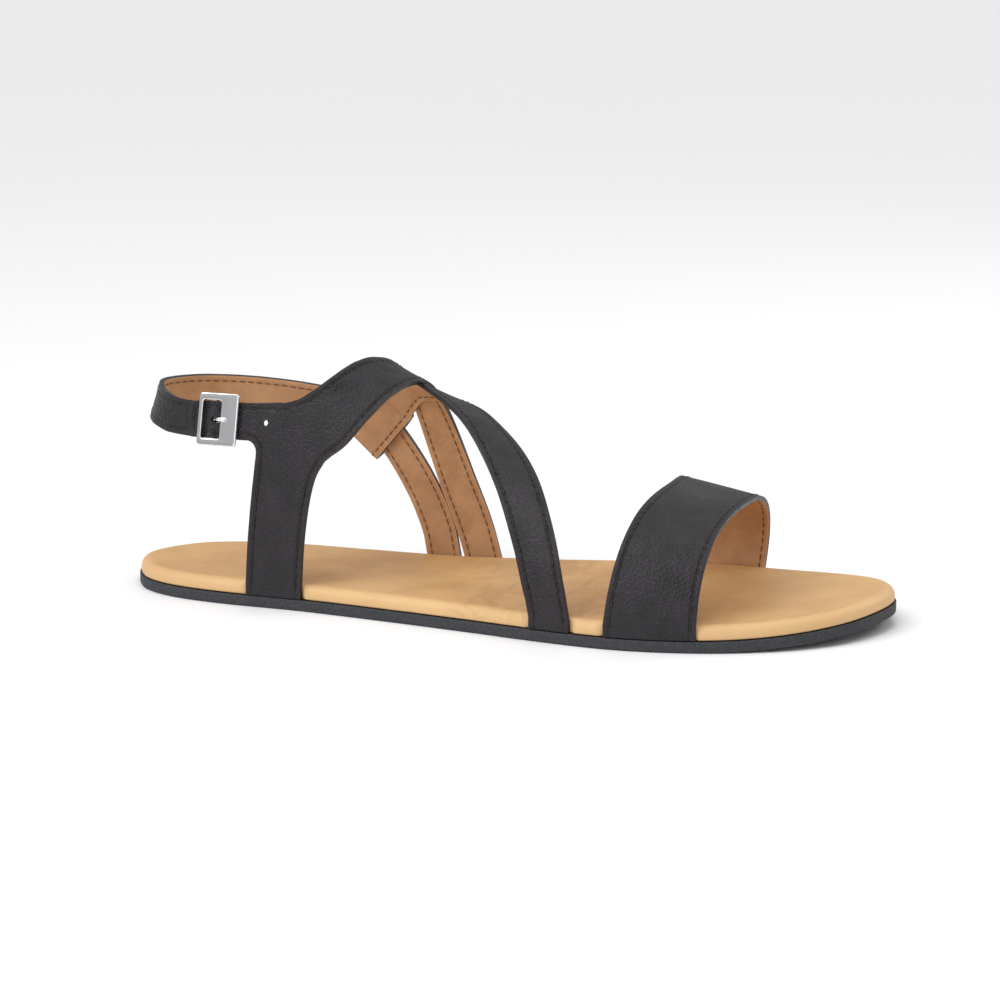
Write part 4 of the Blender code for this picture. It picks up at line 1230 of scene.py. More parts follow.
@dataclass
class SoleSlab:
    """Closed slab with the sole's outline."""

    foot: FootShape
    finishes: Finishes
    stations: int = 200
    inside_columns: int = 26

    def ring(self) -> np.ndarray:
        """Outline points, the inner side from heel to toe and back along the outer."""
        inner, outer = self.foot.sides(self.foot.ring)
        length = self.foot.sole_length
        spread = (1 - np.cos(np.linspace(0, math.pi, self.stations + 1))) / 2 * length
        first = [(x, self.foot.edge_at(inner, x)) for x in spread]
        second = [(x, self.foot.edge_at(outer, x)) for x in spread[1:-1]]
        return np.array(first + second[::-1])

    def slab(self, name: str, profile: np.ndarray, materials: tuple) -> bpy.types.Mesh:
        """Slab from rows of inset and height, with a fine grid over its top and bottom.

        Args:
            name: Name of the mesh.
            profile: For each row and outline point the inset and height.
            materials: Underside, side and top.

        Returns:
            The mesh, with the distance from the rim stored as edge.
        """
        ring = self.ring()
        inward = self.foot.inward(ring)
        size, n = len(ring), self.stations
        points, rim = [], []
        for row in profile:
            for (x, y), way, (inset, z) in zip(ring, inward, row):
                px, py = x + way[0] * inset, y + way[1] * inset
                points.append((px, py, z + self.foot.lift(px)))
                rim.append(inset)
        faces, kinds = [], []
        for i in range(len(profile) - 1):
            for j in range(size):
                k = (j + 1) % size
                faces.append((i * size + j, i * size + k, (i + 1) * size + k, (i + 1) * size + j))
                kinds.append(1)
        for kind, base in ((0, 0), (2, (len(profile) - 1) * size)):
            self.cap(points, rim, faces, kinds, base, kind)
        mesh = mesh_from(name, np.array(points) + self.foot.shift, faces)
        for material in materials:
            mesh.materials.append(material)
        mesh.polygons.foreach_set("material_index", kinds)
        store(mesh, "edge", rim)
        return mesh

    def cap(self, points: list, rim: list, faces: list, kinds: list, base: int, kind: int) -> None:
        """Fills one end of the slab with lines across from the inner to the outer side."""
        n, size, columns = self.stations, 2 * self.stations, self.inside_columns
        lines = []
        for j in range(n + 1):
            a, b = base + j % size, base + (size - j) % size
            line = [a]
            if a != b:
                for share in np.linspace(0, 1, columns + 1)[1:-1]:
                    start, end = np.array(points[a]), np.array(points[b])
                    points.append(tuple(start * (1 - share) + end * share))
                    width = float(np.linalg.norm(start - end))
                    rim.append(rim[a] + width * min(share, 1 - share))
                    line.append(len(points) - 1)
                line.append(b)
            lines.append(line)
        for low, high in zip(lines[:-1], lines[1:]):
            if len(low) == 1:
                found = [(low[0], high[i], high[i + 1]) for i in range(columns)]
            elif len(high) == 1:
                found = [(low[i], high[0], low[i + 1]) for i in range(columns)]
            else:
                found = [(low[i], high[i], high[i + 1], low[i + 1]) for i in range(columns)]
            faces += found
            kinds += [kind] * len(found)

    def rounded(self, inset: float, low: float, high: float, under: float, over: float) -> list:
        """Edge profile with rounded corners, as rows of inset and height."""
        rows = []
        for i in range(4):
            turn = i * math.pi / 6
            rows.append((inset + under * (1 - math.sin(turn)), low + under * (1 - math.cos(turn))))
        for share in (0.35, 0.7):
            rows.append((inset, low + under + (high - over - low - under) * share))
        for i in range(9):
            turn = i * math.pi / 16
            rows.append((inset + over * (1 - math.cos(turn)), high - over * (1 - math.sin(turn))))
        return rows


@dataclass
class Outsole(SoleSlab):
    """Thin black rubber sheet under the whole foot."""

    thickness: float = 3.5 * MM
    lower_edge: float = 0.5 * MM
    upper_edge: float = 0.4 * MM

    def build(self) -> list[bpy.types.Object]:
        """Builds and dresses the sheet."""
        rows = self.rounded(0.0, 0.0, self.thickness, self.lower_edge, self.upper_edge)
        size = 2 * self.stations
        profile = np.array([[row] * size for row in rows])
        paint = (self.finishes.tread, self.finishes.cut, self.finishes.cut)
        made = object_from("outsole_rubber", recalculated(self.slab("outsole", profile, paint)))
        settle_modifiers(made)
        return [ready(made, "black_rubber", "outsole")]


class Notch(NamedTuple):
    """Stretch of rim that a strap passes: side, rear and front station."""

    inner: bool
    rear: float
    front: float


@dataclass
class Footbed(SoleSlab):
    """Padded tan leather footbed with a soft rounded rim."""

    base: float = 3.8 * MM
    thickness: float = 4.5 * MM
    inset: float = 0.5 * MM
    lower_edge: float = 0.6 * MM
    upper_edge: float = 3.2 * MM
    clearance: float = 0.3 * MM
    fill: float = 0.9
    dish: float = 0.35 * MM
    dish_start: float = 3 * MM
    dish_reach: float = 22 * MM
    soft_start: float = 1.5 * MM
    soft_reach: float = 5 * MM
    flex: float = 0.60
    flex_reach: float = 0.13
    wear: float = 0.25
    notches: tuple[Notch, ...] = ()
    creases: tuple[Crease, ...] = (
        Crease(147 * MM, 6 * MM, 22 * MM, 1.6 * MM, 0.30 * MM, 84.0),
        Crease(155 * MM, -4 * MM, 28 * MM, 1.8 * MM, 0.36 * MM, 88.0),
        Crease(163 * MM, 2 * MM, 30 * MM, 2.0 * MM, 0.40 * MM, 94.0),
        Crease(171 * MM, -8 * MM, 24 * MM, 1.7 * MM, 0.32 * MM, 97.0),
        Crease(128 * MM, -12 * MM, 15 * MM, 1.8 * MM, 0.24 * MM, 80.0),
        Crease(116 * MM, 8 * MM, 13 * MM, 1.6 * MM, 0.20 * MM, 99.0),
        Crease(98 * MM, -3 * MM, 14 * MM, 1.8 * MM, 0.18 * MM, 87.0),
    )

    def notched(self, station: float, inner: bool) -> float:
        """1 where a strap passes the rim, falling to 0 beside it."""
        share = 0.0
        for notch in self.notches:
            if notch.inner is inner:
                low = (station - notch.rear) / MM + 1.0
                high = (notch.front - station) / MM + 1.0
                share = max(share, blend(min(low, high)))
        return share

    def build(self) -> list[bpy.types.Object]:
        """Builds and dresses the footbed."""
        foot = self.foot
        high = self.base + self.thickness
        rows = self.rounded(self.inset, self.base, high, self.lower_edge, self.upper_edge)
        rows += [(self.inset + self.upper_edge + extra * MM, high) for extra in (1.2, 2.6)]
        ring = self.ring()
        depth = foot.strap_inset + foot.thickness + self.clearance
        profile = []
        for inset, z in rows:
            line = []
            for i, (x, _) in enumerate(ring):
                share = self.notched(x, i <= self.stations)
                line.append((inset + share * max(depth - inset, 0.0), z))
            profile.append(line)
        pocket = [
            (inset, z + foot.thickness * self.notched(x, i <= self.stations))
            for i, ((x, _), (inset, z)) in enumerate(zip(ring, profile[0]))
        ]
        profile[0] = pocket
        paint = (self.finishes.footbed,) * 3
        mesh = recalculated(self.slab("footbed", np.array(profile), paint))
        self.crumple(mesh)
        made = object_from("footbed_leather", mesh)
        settle_modifiers(made, 60.0)
        ready(made, "tan_leather", "footbed")
        return [made]

    def crumple(self, mesh: bpy.types.Mesh) -> None:
        """Presses the flex lines into the top and stores where the leather is creased."""
        points = np.array([vertex.co[:] for vertex in mesh.vertices])
        local = points - self.foot.shift
        edge = np.array([value.value for value in mesh.attributes["edge"].data])
        top = local[:, 2] > self.base + 0.6 * self.thickness
        soft = np.clip((edge - self.soft_start) / self.soft_reach, 0, 1) * top
        move = sum((crease.at(local[:, :2]) for crease in self.creases), np.zeros(len(points)))
        dish = self.dish * np.clip((edge - self.dish_start) / self.dish_reach, 0, 1)
        points[:, 2] += (move - dish) * soft
        mesh.vertices.foreach_set("co", points.ravel())
        share = local[:, 0] / self.foot.sole_length
        creased = np.exp(-(((share - self.flex) / self.flex_reach) ** 2)) + self.wear
        store(mesh, "crease", np.clip(creased, 0, 1))


# ---------------------------------------------------------------- straps


class BandEdge(NamedTuple):
    """Toe band: share of the way over, rear edge and width as shares."""

    over: float
    rear: float
    width: float


@dataclass
class ToeBand(Strap):
    """Broad band over the ball of the foot."""

    width: float = 28 * MM
    columns: int = 24
    row_share: float = 0.0085
    table: tuple[BandEdge, ...] = (
        BandEdge(0.00, 0.6980, 1.000),
        BandEdge(0.25, 0.7118, 0.911),
        BandEdge(0.50, 0.7196, 0.875),
        BandEdge(0.75, 0.7059, 0.964),
        BandEdge(1.00, 0.6824, 1.054),
    )
    creases: tuple[Crease, ...] = (
        Crease(191 * MM, 34 * MM, 9 * MM, 3.0 * MM, 0.16 * MM, 12.0),
        Crease(196 * MM, 96 * MM, 8 * MM, 2.6 * MM, 0.14 * MM, -10.0),
        Crease(187 * MM, 112 * MM, 9 * MM, 3.2 * MM, 0.16 * MM, 6.0),
    )

    def ends(self, row: BandEdge) -> tuple[float, float]:
        """Rear and front station at one row."""
        rear = row.rear * self.foot.sole_length
        return rear, rear + row.width * self.width

    def build(self) -> list[bpy.types.Object]:
        """Builds and dresses the band."""
        rows = self.margin_rows(*self.ends(self.table[0]), True)
        for over, rear, width in evenly(curve_through(self.table), self.row_share):
            ends = self.ends(BandEdge(over, rear, width))
            rows.append(Row((ends[0], over), (ends[1], over), 0.0, Measure.OVER))
        rows += self.margin_rows(*self.ends(self.table[-1]), False)
        sheet = self.sheet(rows, self.columns)
        sheet.face_out(self.inside(190 * MM), len(sheet.faces))
        sheet.press(self.creases)
        return self.dress("toe_band", sheet, "toe_band")


class LegEdge(NamedTuple):
    """Leg: girth as a share of the billet's, rear edge and width as shares."""

    girth: float
    rear: float
    width: float


class BandRow(NamedTuple):
    """Instep band edges: stations as shares of the length, girths of the way over."""

    rear_station: float
    rear_over: float
    front_station: float
    front_over: float
    lift: float


class Path(NamedTuple):
    """Centre of a strap: station and share of the way over, with its lift."""

    station: float
    over: float
    lift: float = 0.0


@dataclass
class BilletFrame:
    """Flat frame of the billet and buckle on the outer ankle."""

    foot: FootShape
    billet_low: float = 46 * MM
    billet_width: float = 12 * MM
    corner_rear: float = 0.2118 * 255 * MM
    corner_radius: float = 4 * MM
    buckle_start: float = 7 * MM
    front_bar: float = 6 * MM
    window: float = 6.4 * MM
    rear_bar: float = 1.4 * MM
    pin_behind_bar: float = 3.4 * MM
    pin_radius: float = 0.65 * MM
    clearance: float = 0.3 * MM
    bulge: float = 1.2 * MM
    bulge_reach: float = 1.9 * MM
    tip: float = 25 * MM
    hole_radius: float = 1.0 * MM
    hole_stretch: float = 1.75
    spare_hole: float = -2 * MM
    hole_past_pin: float = 1.6 * MM

    def __post_init__(self) -> None:
        """Finds the frame's origin and axes on the foot."""
        foot, girth = self.foot, self.middle
        self.origin = foot.on(self.corner_rear, girth)
        ahead = foot.on(self.corner_rear + self.corner_radius, girth)
        rise = self.billet_width / 6
        across = foot.on(self.corner_rear, girth + rise) - foot.on(self.corner_rear, girth - rise)
        self.along = unit(self.origin - ahead)
        self.across = unit(across - self.along * (across @ self.along))
        outward = np.cross(self.across, self.along)
        self.outward = -outward if outward[1] > 0 else outward
        thickness = foot.thickness
        self.fold_radius = self.pin_radius + self.clearance + thickness / 2
        self.pin_place = self.buckle_start + self.front_bar + self.pin_behind_bar
        self.pin_level = self.bulge - thickness - self.clearance - self.fold_radius
        self.frame_level = thickness / 2 + 0.5 * MM

    @property
    def middle(self) -> float:
        """Girth of the billet's middle line."""
        return self.billet_low + self.billet_width / 2

    def at(self, along: float, across: float = 0.0, out: float = 0.0) -> np.ndarray:
        """Point in the model's frame."""
        return (
            self.origin + self.along * along + self.across * across + self.outward * out
        )

    def placed(self, mesh: bpy.types.Mesh, along: float, out: float) -> bpy.types.Mesh:
        """Moves a mesh made in along, across, out axes to its place."""
        for vertex in mesh.vertices:
            x, y, z = vertex.co
            vertex.co = Vector(self.at(along + x, y, out + z))
        return recalculated(mesh)

    def billet(self, station: float, girth: float) -> np.ndarray:
        """Middle of the billet, which leaves the foot shape for the flat frame."""
        along = self.corner_rear - station
        rise = self.bulge * math.exp(-(((along - self.pin_place) / self.bulge_reach) ** 2))
        flat = self.at(along, girth - self.middle, rise)
        share = blend(along / (1.25 * self.corner_radius))
        low = self.billet_low - self.corner_radius
        share *= blend((girth - low) / self.corner_radius)
        return self.foot.on(station, girth) * (1 - share) + flat * share

    @property
    def prong_hole(self) -> float:
        """Place of the prong's hole along the billet."""
        return self.pin_place - self.hole_past_pin

    def punch(self, name: str, along: float, stretch: float) -> bpy.types.Object:
        """Oval punch through the billet, kept out of the picture."""
        radius = self.hole_radius
        body = bmesh.new()
        bmesh.ops.create_cone(
            body, cap_ends=True, segments=28, radius1=radius, radius2=radius, depth=9 * MM
        )
        bmesh.ops.scale(body, vec=(stretch, 1.0, 1.0), verts=body.verts)
        mesh = poured(body, bpy.data.meshes.new(name))
        return object_from(name, self.placed(mesh, along, 0.0))


@dataclass
class Upper(Strap):
    """Leg, hub, billet and instep band, cut in one piece."""

    frame: BilletFrame | None = None
    leg_width: float = 19.5 * MM
    band_width: float = 12.5 * MM
    tip_radius: float = 4 * MM
    tip_width: float = 0.55
    columns: int = 16
    leg: tuple[LegEdge, ...] = (
        LegEdge(0.000, 0.2039, 1.000),
        LegEdge(0.304, 0.2063, 1.005),
        LegEdge(0.609, 0.2094, 1.046),
        LegEdge(0.783, 0.2110, 1.118),
        LegEdge(0.891, 0.2118, 1.241),
    )
    hub: tuple[LegEdge, ...] = (
        LegEdge(1.000, 0.2118, 1.538),
        LegEdge(1.087, 0.2118, 1.692),
        LegEdge(1.261, 0.2118, 1.923),
    )
    band: tuple[BandRow, ...] = (
        BandRow(0.2392, 0.0029, 0.3647, 0.0292, 0.00),
        BandRow(0.2647, 0.0182, 0.3706, 0.0689, 0.06),
        BandRow(0.2882, 0.0541, 0.3765, 0.1192, 0.19),
        BandRow(0.3098, 0.1185, 0.3812, 0.1903, 0.44),
        BandRow(0.3239, 0.2034, 0.3843, 0.2818, 0.62),
    )
    path: tuple[Path, ...] = (
        Path(0.3608, 0.3426, 0.69),
        Path(0.3725, 0.5065, 0.62),
        Path(0.3961, 0.7131, 0.25),
        Path(0.4216, 0.8940, 0.00),
        Path(0.4333, 1.0000, 0.00),
    )
    creases: tuple[Crease, ...] = (
        Crease(66 * MM, 53 * MM, 8 * MM, 2.2 * MM, 0.20 * MM, 62.0),
        Crease(78 * MM, 63 * MM, 9 * MM, 2.6 * MM, 0.22 * MM, 28.0),
        Crease(86 * MM, 78 * MM, 7 * MM, 2.4 * MM, 0.18 * MM, 8.0),
        Crease(62 * MM, 20 * MM, 8 * MM, 3.0 * MM, 0.14 * MM, 4.0),
        Crease(63 * MM, 33 * MM, 8 * MM, 2.6 * MM, 0.14 * MM, -8.0),
    )

    @staticmethod
    def pinhole_place(foot: FootShape, station: float = 0.392, over: float = 0.60) -> tuple:
        """Place of the pinhole on the lining of the instep band."""
        station *= foot.sole_length
        depth = -foot.thickness / 2
        return tuple(foot.over(station, over * foot.whole(station), depth))

    def leg_ends(self, row: LegEdge) -> tuple[float, float]:
        """Rear and front station of the leg at one row."""
        rear = row.rear * self.foot.sole_length
        return rear, rear + row.width * self.leg_width

    def hub_front(self, girth: float) -> float:
        """Front edge of the hub between the leg and the band."""
        rows = self.leg[-2:] + self.hub
        smooth = curve_through([(r.girth, self.leg_ends(r)[1] * 10) for r in rows])
        return float(np.interp(girth / self.frame.billet_low, smooth[:, 0], smooth[:, 1])) / 10

    def leg_rows(self) -> tuple[list[Row], int]:
        """Rows of the leg and hub, and the first that carries the billet."""
        low, radius = self.frame.billet_low, self.frame.corner_radius
        corner = self.frame.corner_rear
        table = [(row.girth * low, *self.leg_ends(row)) for row in self.leg]
        rows = self.margin_rows(*self.leg_ends(self.leg[0]), True)
        for girth, rear, front in evenly(curve_through(table), self.step):
            rows.append(Row((rear, girth), (front, girth)))
        for i in range(1, 9):
            turn = i * math.pi / 16
            girth = low - radius * (1 - math.sin(turn))
            rear = corner - radius * (1 - math.cos(turn))
            rows.append(Row((rear, girth), (self.hub_front(girth), girth)))
        first = len(rows) - 1
        for girth in np.linspace(low, low + self.frame.billet_width, 13)[1:]:
            rows.append(Row((corner - radius, girth), (self.hub_front(girth), girth)))
        return rows, first

    def above_billet(self, share: float, over: float) -> tuple[float, float]:
        """Station and girth from the shares of the band's tables."""
        station = share * self.foot.sole_length
        high = self.frame.billet_low + self.frame.billet_width
        return station, high + over * (self.foot.whole(station) - high)

    def band_rows(self) -> list[Row]:
        """Rows of the instep band, from the hub over to the inner sole edge."""
        foot = self.foot
        rows = []
        for row in self.band:
            rear = self.above_billet(row.rear_station, row.rear_over)
            front = self.above_billet(row.front_station, row.front_over)
            rows.append((*rear, *front, row.lift * foot.thickness))
        centre = np.array(
            [(*self.above_billet(r.station, r.over), r.lift * foot.thickness) for r in self.path]
        )
        slopes = np.gradient(centre[:, :2], axis=0)
        half = self.band_width / 2
        for (station, girth, lift), slope in zip(centre[:-1], slopes):
            across = foot.square_to(station, girth, slope) * half
            middle = np.array([station, girth])
            rows.append((*(middle - across), *(middle + across), lift))
        station = centre[-1, 0]
        rear, front = station - half, station + half
        rows.append((rear, foot.whole(rear), front, foot.whole(front), 0.0))
        table = evenly(curve_through(rows), self.step * math.sqrt(2))
        smooth = [Row(tuple(row[:2]), tuple(row[2:4]), row[4]) for row in table[:-1]]
        smooth.append(Row((rear, 0.0), (front, 0.0), 0.0, Measure.INNER))
        return smooth + self.margin_rows(rear, front, False)

    def tip_girth(self, station: float, share: float) -> float:
        """Girth across the billet, drawn in to a rounded tip."""
        left = (station - self.frame.corner_rear + self.frame.tip) / self.tip_radius
        round_off = math.sqrt(max(1 - (1 - min(left, 1.0)) ** 2, 0.0))
        width = self.tip_width + (1 - self.tip_width) * round_off
        return self.frame.middle + (share - 0.5) * self.frame.billet_width * width

    def build(self) -> list[bpy.types.Object]:
        """Builds and dresses the upper."""
        frame = self.frame
        rows, first = self.leg_rows()
        last = len(rows) - 1
        rows += self.band_rows()
        columns = self.columns
        sheet = self.sheet(rows, columns)
        points, places = list(sheet.points), list(sheet.places)
        faces = list(sheet.faces)
        for i, (station, girth) in enumerate(places[: (last + 1) * columns]):
            if station < frame.corner_rear and girth > frame.billet_low - frame.corner_radius:
                points[i] = frame.billet(station, girth)
        reach = frame.tip - frame.corner_radius
        body = np.arange(1.0, reach / MM - 4.0, 0.8) * MM
        back = [*body, *(reach - self.tip_radius * s for s in (0.9, 0.65, 0.4, 0.2, 0.07, 0.0))]
        stations = [frame.corner_rear - frame.corner_radius - step for step in back]
        lines = list(range(first, last + 1))
        low = rows[first].rear[1]
        base, size = len(points), len(stations)
        for i in lines:
            share = (rows[i].rear[1] - low) / frame.billet_width
            for station in stations:
                girth = self.tip_girth(station, share)
                points.append(frame.billet(station, girth))
                places.append((station, girth))
        for n, i in enumerate(lines[:-1]):
            corner = base + n * size
            faces.append((i * columns, (i + 1) * columns, corner + size, corner))
            for j in range(size - 1):
                corner = base + n * size + j
                faces.append((corner, corner + size, corner + size + 1, corner + 1))
        sheet = Sheet(np.array(points), np.array(places), faces)
        sheet.face_out(self.inside(62 * MM), (last + 1) * (columns - 1))
        sheet.press(self.creases)
        tools = [
            frame.punch("spare_punch", frame.spare_hole, 1.0),
            frame.punch("prong_punch", frame.prong_hole, frame.hole_stretch),
        ]
        made = self.dress("upper", sheet, "upper_straps", tools=tools)
        for tool in tools:
            bpy.data.objects.remove(tool)
        return made


@dataclass
class CrossingStrap(Strap):
    """Strap from the outer forefoot to a folded loop on the inner ankle."""

    width: float = 13.5 * MM
    heel_strap_width: float = 11.6 * MM
    clearance: float = 0.3 * MM
    loop_room: float = 1.3 * MM
    loop_sink: float = 0.9 * MM
    loop_tail: float = 4.5 * MM
    loop_tilt: float = math.radians(42)
    columns: int = 12
    table: tuple[Path, ...] = (
        Path(0.6275, 0.0000),
        Path(0.6196, 0.0581),
        Path(0.5980, 0.1735),
        Path(0.5608, 0.3011),
        Path(0.5078, 0.4261),
        Path(0.4471, 0.5279),
    )
    loop: Path = Path(0.2902, 0.7650)
    approach: tuple[float, ...] = (-3.66, -1.90)
    back: tuple[float, ...] = (-1.90, -1.58, -1.27, -0.95, -0.63, -0.31, 0.0, 0.31, 0.63, 1.0)
    front: tuple[float, ...] = (0.7, 0.42, 0.14, -0.14, -0.42, -0.7, -1.0)
    creases: tuple[Crease, ...] = (
        Crease(154 * MM, 20 * MM, 6 * MM, 2.4 * MM, 0.14 * MM, 4.0),
        Crease(140 * MM, 46 * MM, 6 * MM, 2.2 * MM, 0.14 * MM, 40.0),
    )

    @property
    def reach(self) -> float:
        """Distance from the loop's middle to its fold."""
        return self.heel_strap_width / 2 + self.loop_room

    def place(self, reach: float, aside: float = 0.0) -> np.ndarray:
        """Station and girth from the inner edge, down the strap from the loop's middle."""
        middle = self.loop.station * self.foot.sole_length
        short = (1 - self.loop.over) * self.foot.whole(middle)
        lean = (math.sin(self.loop_tilt), math.cos(self.loop_tilt))
        station = middle - reach * lean[0] + aside * lean[1]
        return np.array([station, -short + reach * lean[1] + aside * lean[0]])

    def sink(self, share: float) -> float:
        """Level at a share of the loop's reach, so that the loop lies flat."""
        start, full = self.approach[0], self.back[2]
        return -self.loop_sink * blend((share - start) / (full - start))

    def loop_rows(self) -> list[Row]:
        """Rows that go down behind the heel strap, fold, and come back in front of it."""
        radius = self.foot.thickness + self.clearance
        reach = self.reach
        places = [(share * reach, self.sink(share)) for share in self.back]
        for i in range(1, 13):
            turn = i * math.pi / 12
            away = radius * (1 - math.cos(turn)) - self.loop_sink
            places.append((reach + radius * math.sin(turn), away))
        high = 2 * radius - self.loop_sink
        seam = radius - self.loop_sink
        places += [(share * reach, high) for share in self.front]
        for share in (0.25, 0.5, 0.75, 1.0):
            level = high + (seam + self.clearance - high) * blend(share)
            places.append((-reach - self.loop_tail * share, level))
        half = self.width / 2
        ends = [(self.place(way, -half), self.place(way, half), lift) for way, lift in places]
        return [Row(tuple(a), tuple(b), lift, Measure.INNER) for a, b, lift in ends]

    def build(self) -> list[bpy.types.Object]:
        """Builds and dresses the strap."""
        foot = self.foot
        path = []
        for row in self.table:
            station = row.station * foot.sole_length
            path.append((station, row.over * foot.whole(station), 0.0))
        for share in self.approach:
            station, girth = self.place(share * self.reach)
            path.append((station, girth + foot.whole(station), self.sink(share)))
        path = evenly(curve_through(path), self.step)
        slopes = np.gradient(path[:, :2], axis=0)
        half = self.width / 2
        station = self.table[0].station * foot.sole_length
        rows = self.margin_rows(station - half, station + half, True)
        for (station, girth, lift), slope in zip(path[:-1], slopes):
            square = foot.square_to(station, girth, slope)
            share = blend(girth / self.width)
            across = (square * share + np.array([1.0, 0.0]) * (1 - share)) * half
            middle = np.array([station, girth])
            rows.append(Row(tuple(middle - across), tuple(middle + across), lift))
        rows += self.loop_rows()
        sheet = self.sheet(rows, self.columns)
        sheet.face_out(self.inside(150 * MM), 20 * (self.columns - 1))
        sheet.press(self.creases)
        return self.dress("crossing_strap", sheet)


class Anchor(NamedTuple):
    """Heel strap near its inner end: station, height and lift as shares."""

    station: float
    height: float
    lift: float


class Heel(NamedTuple):
    """Heel strap round the heel: way round the rim, height and lift as shares."""

    round: float
    height: float
    lift: float


class Fold(NamedTuple):
    """Strap end before its turn round the pin: fold radii behind the pin, and level."""

    behind: float
    level: float


